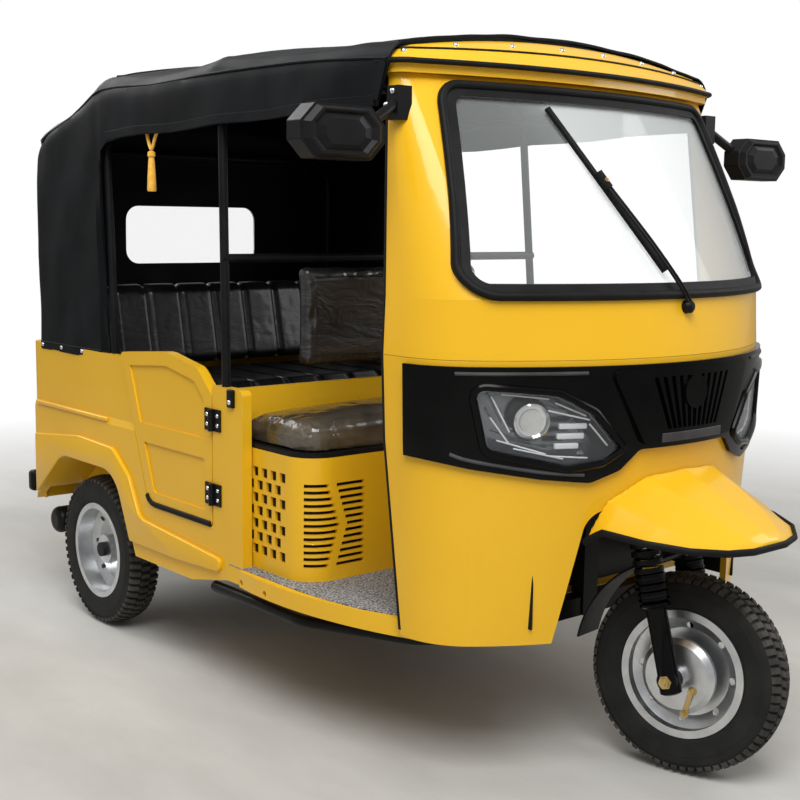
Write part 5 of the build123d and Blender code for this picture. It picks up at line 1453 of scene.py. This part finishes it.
def lamp_insides():
    """Projector, its ring, and the stack of light bars behind each lens."""
    bright = []
    lens = []
    white = []
    for side in (-1, 1):
        x, z = PROJECTOR_PLACE
        place, normal = landing(nodes["headlamp_lenses"], (side * x, FRONT_Y, z), -FORWARD)
        seat = place - normal * PROJECTOR_DEPTH
        ring = [(along, PROJECTOR_RADIUS + wider) for along, wider in PROJECTOR_RING]
        bright.append(turned(ring, seat, normal, 32))
        turns = steps_between(0, math.pi / 2, 7)
        ball = [(0.004 + 0.024 * math.sin(turn), 0.035 * math.cos(turn * 0.97)) for turn in turns]
        lens.append(turned(ball, seat + normal * 0.006, normal, 32))
        for low_x, high_x, low_z, high_z in LED_BARS:
            start = (side * (low_x + high_x) / 2, FRONT_Y, (low_z + high_z) / 2)
            middle, facing = landing(nodes["headlamp_lenses"], start, -FORWARD)
            bar = soft_box((-(high_x - low_x) / 2, -0.006, -(high_z - low_z) / 2),
                           ((high_x - low_x) / 2, 0.006, (high_z - low_z) / 2), 0.003)
            turn = FORWARD.rotation_difference(facing).to_matrix().to_4x4()
            white.append(moved(bar, Matrix.Translation(middle - facing * BAR_DEPTH) @ turn))
    new_piece("lamp_rings", joined(bright), "lamp_bowl", made=CHROME)
    new_piece("lamp_projectors", joined(lens), "lamp_lens")
    new_piece("lamp_bars", joined(white), "lamp_bowl", made=LAMP_WHITE_AND_PAINTED_GLINT)


LAMP_PAINTED_GLINTS = [
    # half width and height where a painted glint starts and ends
    (0.520, 0.975, 0.480, 0.890), (0.500, 0.980, 0.400, 0.968), (0.505, 0.870, 0.400, 0.835),
    (0.520, 0.925, 0.480, 0.862), (0.400, 0.940, 0.300, 0.915), (0.385, 0.958, 0.310, 0.925),
    (0.390, 0.830, 0.300, 0.822), (0.300, 0.905, 0.250, 0.850), (0.470, 0.850, 0.360, 0.822),
]


def lamp_painted_glints():
    """Bright facet edges inside the lamps, as thin white lines: painted highlights for light glinting on the
    reflector's facets.
    """
    shapes = []
    for side in (-1, 1):
        for start_x, start_z, end_x, end_z in LAMP_PAINTED_GLINTS:
            points = zip(steps_between(start_x, end_x, 5), steps_between(start_z, end_z, 5))
            line, _ = laid_line(nodes["headlamp_lenses"], in_front(points, side), -FORWARD, -GLINT_DEPTH)
            shapes.append(sweep(line, round_profile(GLINT_RADIUS, 6)))
    return new_piece("lamp_painted_glints", joined(shapes), "lamp_bowl", made=LAMP_WHITE_AND_PAINTED_GLINT)


lamp_insides()
lamp_painted_glints()

# Black sheets inside the seat box and the wheel well, as painted shade
# Box of the black sheet that stands in as painted shade inside the seat box
SHADE_SHEET_HALF = 0.598
SHADE_SHEET_FRONT_BACK = 0.8235
SHADE_SHEET_REAR_BACK = 1.132
SHADE_SHEET_LOW = 0.400
SHADE_SHEET_HIGH = 0.715
WELL_BOXES = [
    # low x, high x, front back, rear back, low height, high height
    (-0.46, 0.46, 0.372, 0.378, 0.40, 0.80),
    (0.40, 0.406, 0.16, 0.37, 0.40, 0.74),
    (-0.406, -0.40, 0.16, 0.37, 0.40, 0.74),
]


def painted_shade_linings():
    """Black sheet behind the seat box's grilles, a painted shade for the dark inside of the box, and black
    panels round the front wheel's well, in part its inner panels and in part a painted shade for the well.
    """
    front = behind(SHADE_SHEET_FRONT_BACK)
    rear = behind(SHADE_SHEET_REAR_BACK)
    plan = rounded_outline([(SHADE_SHEET_HALF, rear, 0), (SHADE_SHEET_HALF, front, 0.074),
                            (-SHADE_SHEET_HALF, front, 0.074), (-SHADE_SHEET_HALF, rear, 0)], 8)
    line = [Vector((x, y, SHADE_SHEET_LOW)) for x, y in plan]
    height = SHADE_SHEET_HIGH - SHADE_SHEET_LOW
    sheet = [(-0.001, 0.0), (0.001, 0.0), (0.001, height), (-0.001, height)]
    swept_piece("seat_box_painted_shade", [line], sheet, "black_paint")
    shapes = [soft_box((low_x, behind(front_back), low), (high_x, behind(rear_back), high), 0.002)
              for low_x, high_x, front_back, rear_back, low, high in WELL_BOXES]
    new_piece("wheel_well_shade_panels", joined(shapes), "black_paint")


painted_shade_linings()

# Floor mat
MAT_ROWS = [
    # back, half width
    (0.412, 0.530), (0.470, 0.580), (0.560, 0.615), (0.660, 0.634), (0.784, 0.646), (1.132, 0.646),
]
FLOOR_TOP = 0.395
MAT_THICKNESS = 0.004


def floor_mat():
    """Speckled mat on the driver's floor."""
    right = [(-half, behind(back)) for back, half in MAT_ROWS]
    outline = right + [(-x, y) for x, y in reversed(right)]
    middle = Vector((0, behind(0.6)))
    verts = []
    for height, share in ((0.0, 1.0), (0.6, 1.0), (1.0, 0.995)):
        for point in outline:
            flat = middle + (Vector(point) - middle) * share
            verts.append(Vector((flat[0], flat[1], FLOOR_TOP + MAT_THICKNESS * height)))
    return new_piece("floor_mat", (verts, ring_faces(3, len(outline))), "rubber", made=MAT)


floor_mat()

# Fork springs, wheel nuts and bolts
FORK_HALF_SPAN = 0.126
COIL_RADIUS = 0.0285
COIL_WIRE = 0.0058
COIL_START = 0.272
COIL_END = 0.400
COIL_TURNS = 7
NUT_CIRCLE = 0.074
NUT_COUNT = 5
LEG_ROWS = [
    # along the leg, radius
    (-0.034, 0.020), (-0.030, 0.027), (0.010, 0.0275), (0.016, 0.0262), (0.172, 0.0262), (0.176, 0.028),
    (0.180, 0.028),
]
BELLOWS_LOW = 0.182
BELLOWS_PITCH = 0.0145
BELLOWS_COUNT = 6
BELLOWS_RADIUS = 0.0385
BELLOWS_NECK = 0.030


def on_leg(x, along):
    """A place on a fork leg, with the wheel straight ahead."""
    return Vector((x, FRONT_AXLE_Y, TYRE_RADIUS)) + STEER_AXIS * along


def fork_springs():
    """Plated springs round the tops of the fork legs."""
    shapes = []
    forward = LEFT.cross(STEER_AXIS)
    steps = COIL_TURNS * 18
    for x in (-FORK_HALF_SPAN, FORK_HALF_SPAN):
        line = []
        for step in range(steps + 1):
            turn = 2 * math.pi * COIL_TURNS * step / steps
            spoke = LEFT * math.cos(turn) + forward * math.sin(turn)
            middle = on_leg(x, blend_value(COIL_START, COIL_END, step / steps))
            line.append(STEER @ (middle + spoke * COIL_RADIUS))
        shapes.append(sweep(line, round_profile(COIL_WIRE, 8), STEER.to_3x3() @ STEER_AXIS))
    return new_piece("fork_springs", joined(shapes), "steel", "steering", CHROME)


def fork_sleeves():
    """Black leg sleeves with bellows and the tube inside the spring."""
    rows = list(LEG_ROWS)
    for index in range(BELLOWS_COUNT):
        low = BELLOWS_LOW + index * BELLOWS_PITCH
        rows.append((low, BELLOWS_NECK))
        rows += [(low + BELLOWS_PITCH * share, BELLOWS_RADIUS) for share in (0.3, 0.7)]
    top = BELLOWS_LOW + BELLOWS_COUNT * BELLOWS_PITCH
    rows += [(top, BELLOWS_NECK), (top + 0.002, 0.0235), (COIL_END, 0.0235)]
    axis = STEER.to_3x3() @ STEER_AXIS
    shapes = [turned(rows, STEER @ on_leg(x, 0.0), axis, 28) for x in (-FORK_HALF_SPAN, FORK_HALF_SPAN)]
    return new_piece("fork_sleeves", joined(shapes), "black_paint", "steering", LOOKS["gloss_black"])


def fork_bolts():
    """Axle nuts outside the fork's eyes."""
    places = []
    for side in (-1, 1):
        out = STEER.to_3x3() @ (LEFT * side)
        place, _ = landing(nodes["front_axle"], STEER @ on_leg(side * 0.4, 0.0), -out)
        places.append((place - out * 0.004, out))
    return studs("fork_bolts", places, nut(0.013, 0.012), "steering", BRASS, 6)


def wheel_nuts():
    """Nuts round the rear hubs."""
    rear_y = behind(REAR_AXLE_BACK)
    for side, name in SIDES:
        places = []
        for index in range(NUT_COUNT):
            turn = 2 * math.pi * (index + 0.25) / NUT_COUNT
            y = rear_y + NUT_CIRCLE * math.cos(turn)
            z = TYRE_RADIUS + NUT_CIRCLE * math.sin(turn)
            places.append(landing(nodes["rear_rim_" + name], (side * OUTSIDE, y, z), LEFT * -side))
        studs("wheel_nuts_" + name, places, nut(0.0095, 0.012), "rear_wheel_" + name, sides=6)


fork_springs()
fork_sleeves()
fork_bolts()
wheel_nuts()

# Wiper
WIPER_TIP = (-0.217, 1.655)
WIPER_FOOT = (-0.052, 1.258)
WIPER_BRACKET = (-0.143, 1.471)
WIPER_PIVOT = (-0.005, 1.178)
BLADE_PROFILE = [(-0.0045, 0.006), (0.0045, 0.006), (0.0065, 0.012), (0.0065, 0.018), (-0.0065, 0.018),
                 (-0.0065, 0.012)]


def on_screen(x, z, lift):
    """A place in front of the windscreen."""
    place, normal = landing(nodes["windscreen"], (x, FRONT_Y, z), -FORWARD)
    return place + normal * lift


def wiper_set():
    """Blade on the screen, its bracket, and the two thin rods down to the pivot."""
    columns = [steps_between(tip, foot, 13) for tip, foot in zip(WIPER_TIP, WIPER_FOOT)]
    line, normals = laid_line(nodes["windscreen"], in_front(zip(*columns)), -FORWARD)
    blade = swept_piece("wiper_blade", [line], BLADE_PROFILE, "rubber", {0: normals})
    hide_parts("wiper")
    foot, out = landing(nodes["cab_upper"], (WIPER_PIVOT[0], FRONT_Y, WIPER_PIVOT[1]), -FORWARD)
    bracket = on_screen(*WIPER_BRACKET, 0.026)
    rods = []
    for shift in (-0.006, 0.006):
        side = LEFT * shift
        middle = foot.lerp(bracket, 0.5) + out * 0.022
        rods.append(smooth_line([foot + out * 0.012 + side, foot.lerp(bracket, 0.12) + out * 0.026 + side,
                                 middle + side, bracket + side], 8))
    swept_piece("wiper_rods", rods, round_profile(0.0035, 8), "black_paint")
    ahead = (line[0] - line[-1]).normalized()
    clip = [bracket - ahead * 0.024 - out * 0.004, bracket + ahead * 0.024 - out * 0.004]
    swept_piece("wiper_bracket", [clip], flat_profile(0.022, 0.012), "black_paint", out)
    hub = [(-0.002, 0.017), (0.014, 0.017), (0.020, 0.012), (0.024, 0.006)]
    new_piece("wiper_pivot", turned(hub, foot, out, 20), "black_paint")
    studs("wiper_nut", [(bracket + out * 0.008, out)], nut(0.005, 0.006), made=BRASS, sides=6)


wiper_set()

# Mirror faces
MIRROR_X = 0.800
MIRROR_BACK = 0.430
MIRROR_Z = 1.576
MIRROR_HALF_DEPTH = 0.026
MIRROR_CORNERS = [
    # across, up, from the middle of the head
    (-0.120, -0.021), (-0.120, 0.021), (-0.080, 0.061), (0.080, 0.061),
    (0.120, 0.021), (0.120, -0.021), (0.080, -0.061), (-0.080, -0.061),
]
MIRROR_RELIEF = [
    # share of the head, height above it
    (0.97, -0.004), (0.82, 0.011), (0.76, 0.011), (0.66, 0.004), (0.46, 0.010),
]
MIRROR_PANE = [
    # share of the head, height above it
    (0.90, -0.003), (0.90, 0.0015),
]


def octagon_stack(side, rows, facing):
    """A stepped eight-sided plate on a mirror head; facing is -1 for its front and 1 for its back."""
    face_y = behind(MIRROR_BACK) + facing * MIRROR_HALF_DEPTH
    verts = []
    for share, height in rows:
        verts += [Vector((side * MIRROR_X + x * share, face_y + facing * height, MIRROR_Z + z * share))
                  for x, z in MIRROR_CORNERS]
    return verts, ring_faces(len(rows), len(MIRROR_CORNERS))


def mirror_faces():
    """Moulded fronts, the mirror panes behind and the bolts of the feet."""
    fronts = [octagon_stack(side, MIRROR_RELIEF, -1) for side in (-1, 1)]
    new_piece("mirror_fronts", joined(fronts), "black_plastic", smooth=False)
    panes = [octagon_stack(side, MIRROR_PANE, 1) for side in (-1, 1)]
    new_piece("mirror_panes", joined(panes), "lamp_bowl", made=MIRROR_GLASS, smooth=False)
    bolts = []
    for side in (-1, 1):
        for z in (1.652, 1.684):
            bolts.append(landing(nodes["mirrors"], (side * OUTSIDE, behind(0.462), z), LEFT * -side))
    studs("mirror_bolts", bolts, BOLT_HEAD, made=CHROME)


mirror_faces()

# Wheel-arch flares, ribs and door trims
FLARE_ROWS = [
    # back, height, corner radius
    (1.170, 0.405, 0.018), (1.640, 0.440, 0.050), (1.705, 0.560, 0.090), (1.815, 0.640, 0.070),
    (2.060, 0.648, 0.200), (2.392, 0.613, 0.006), (2.392, 0.398, 0.004), (2.185, 0.563, 0.120),
    (1.802, 0.563, 0.130), (1.705, 0.353, 0.004), (1.420, 0.353, 0.010), (1.170, 0.365, 0.018),
]
FLARE_PROUD = 0.012
FLARE_EDGE = 0.0105
RIB_ROWS = [
    # front back, rear back, low height, high height
    (1.860, 2.392, 0.719, 0.733),
]
DOOR_STRIP = [
    # back, height
    (1.602, 0.522), (1.590, 0.508), (1.572, 0.4985), (1.550, 0.4965), (1.228, 0.4965),
]
HINGE_BACK = 1.212
HINGE_FACE_X = 0.6495
HINGE_BOLT_SHIFT = 0.027
HINGE_BOLT_HEIGHTS = (0.574, 0.602, 0.792, 0.820)


def arch_flares():
    """Raised lips round the rear wheel arches."""
    outline = [(behind(back), z) for back, z in rounded_outline(FLARE_ROWS, 8)]
    for side, name in SIDES:
        ends = sorted((side * (SIDE_X - 0.003), side * (SIDE_X + FLARE_PROUD)))
        flare = prism("arch_flare_" + name, outline, "x", *ends)
        bevel = flare.modifiers.new("soft", "BEVEL")
        bevel.width = FLARE_EDGE
        bevel.segments = 3
        bevel.angle_limit = math.radians(50)
        apply_modifiers(flare)
        finish_piece(flare, "yellow_paint")


def side_ribs():
    """Pressed ribs along the tub's upper sides."""
    shapes = []
    for front, rear, low, high in RIB_ROWS:
        rib = soft_box((SIDE_X - 0.004, behind(front), low), (SIDE_X + 0.006, behind(rear), high), 0.004)
        shapes.append(both_sides(rib))
    new_piece("side_ribs", joined(shapes), "yellow_paint")


def door_trims():
    """A rubber strip under each door, and bolts on the hinge leaves."""
    for side, name in SIDES:
        line = [Vector((side * SIDE_X, behind(back), z)) for back, z in DOOR_STRIP]
        out = LEFT * side
        swept_piece("door_strip_" + name, [line], flat_profile(0.016, 0.006), "rubber", out, "door_" + name)
        for body, shift in (("chassis", -HINGE_BOLT_SHIFT), ("door_" + name, HINGE_BOLT_SHIFT)):
            y = behind(HINGE_BACK + shift)
            places = [(Vector((side * HINGE_FACE_X, y, z)), out) for z in HINGE_BOLT_HEIGHTS]
            studs("hinge_bolts_" + body + "_" + name, places, dome(0.0065, 0.004), body, CHROME)


arch_flares()
side_ribs()
door_trims()

# Curtain ties
TIE_X = 0.622
TIE_LINE = [
    # place along the vehicle, height
    (0.497, 1.640), (0.486, 1.612), (0.476, 1.592), (0.468, 1.586), (0.460, 1.592), (0.448, 1.612),
    (0.431, 1.640),
]
TIE_RADIUS = 0.005
TASSEL_ROWS = [
    # drop below the loop, radius
    (0.0, 0.004), (0.004, 0.011), (0.016, 0.012), (0.022, 0.008), (0.030, 0.0095), (0.080, 0.0125),
    (0.118, 0.014), (0.122, 0.012),
]


def curtain_ties():
    """A looped cord with a tassel under each side of the hood."""
    for side, name in SIDES:
        line = smooth_line([(side * TIE_X, y, z) for y, z in TIE_LINE], 6)
        profile = round_profile(TIE_RADIUS, 8)
        tie = swept_piece("curtain_tie_" + name, [line], profile, "canvas", LEFT, made=TIE_CORD)
        low = min(line, key=lambda point: point[2]) - UP * TIE_RADIUS
        tassel = new_piece("tassel_" + name, turned(TASSEL_ROWS, low, -UP, 20), "canvas", made=TIE_CORD)


curtain_ties()

# Front brake lever
LEVER_PIVOT = (-0.045, -0.027)
LEVER_END = (-0.028, -0.088)


def brake_lever():
    """Brass lever and its bolt on the front brake plate."""
    out = STEER.to_3x3() @ -LEFT
    ends = []
    for forward, up in (LEVER_PIVOT, LEVER_END):
        start = STEER @ Vector((-0.3, FRONT_AXLE_Y + forward, TYRE_RADIUS + up))
        ends.append(landing(nodes["brake_plate"], start, -out)[0])
    line = [end + out * 0.006 for end in ends]
    swept_piece("brake_lever", [line], flat_profile(0.013, 0.005), "steel", out, "steering", BRASS)
    bolts = [(ends[0] + out * 0.002, out), (ends[1] + out * 0.006, out)]
    studs("brake_lever_bolts", bolts, nut(0.0085, 0.012), "steering", BRASS, 6)


brake_lever()

bpy.context.view_layer.update()
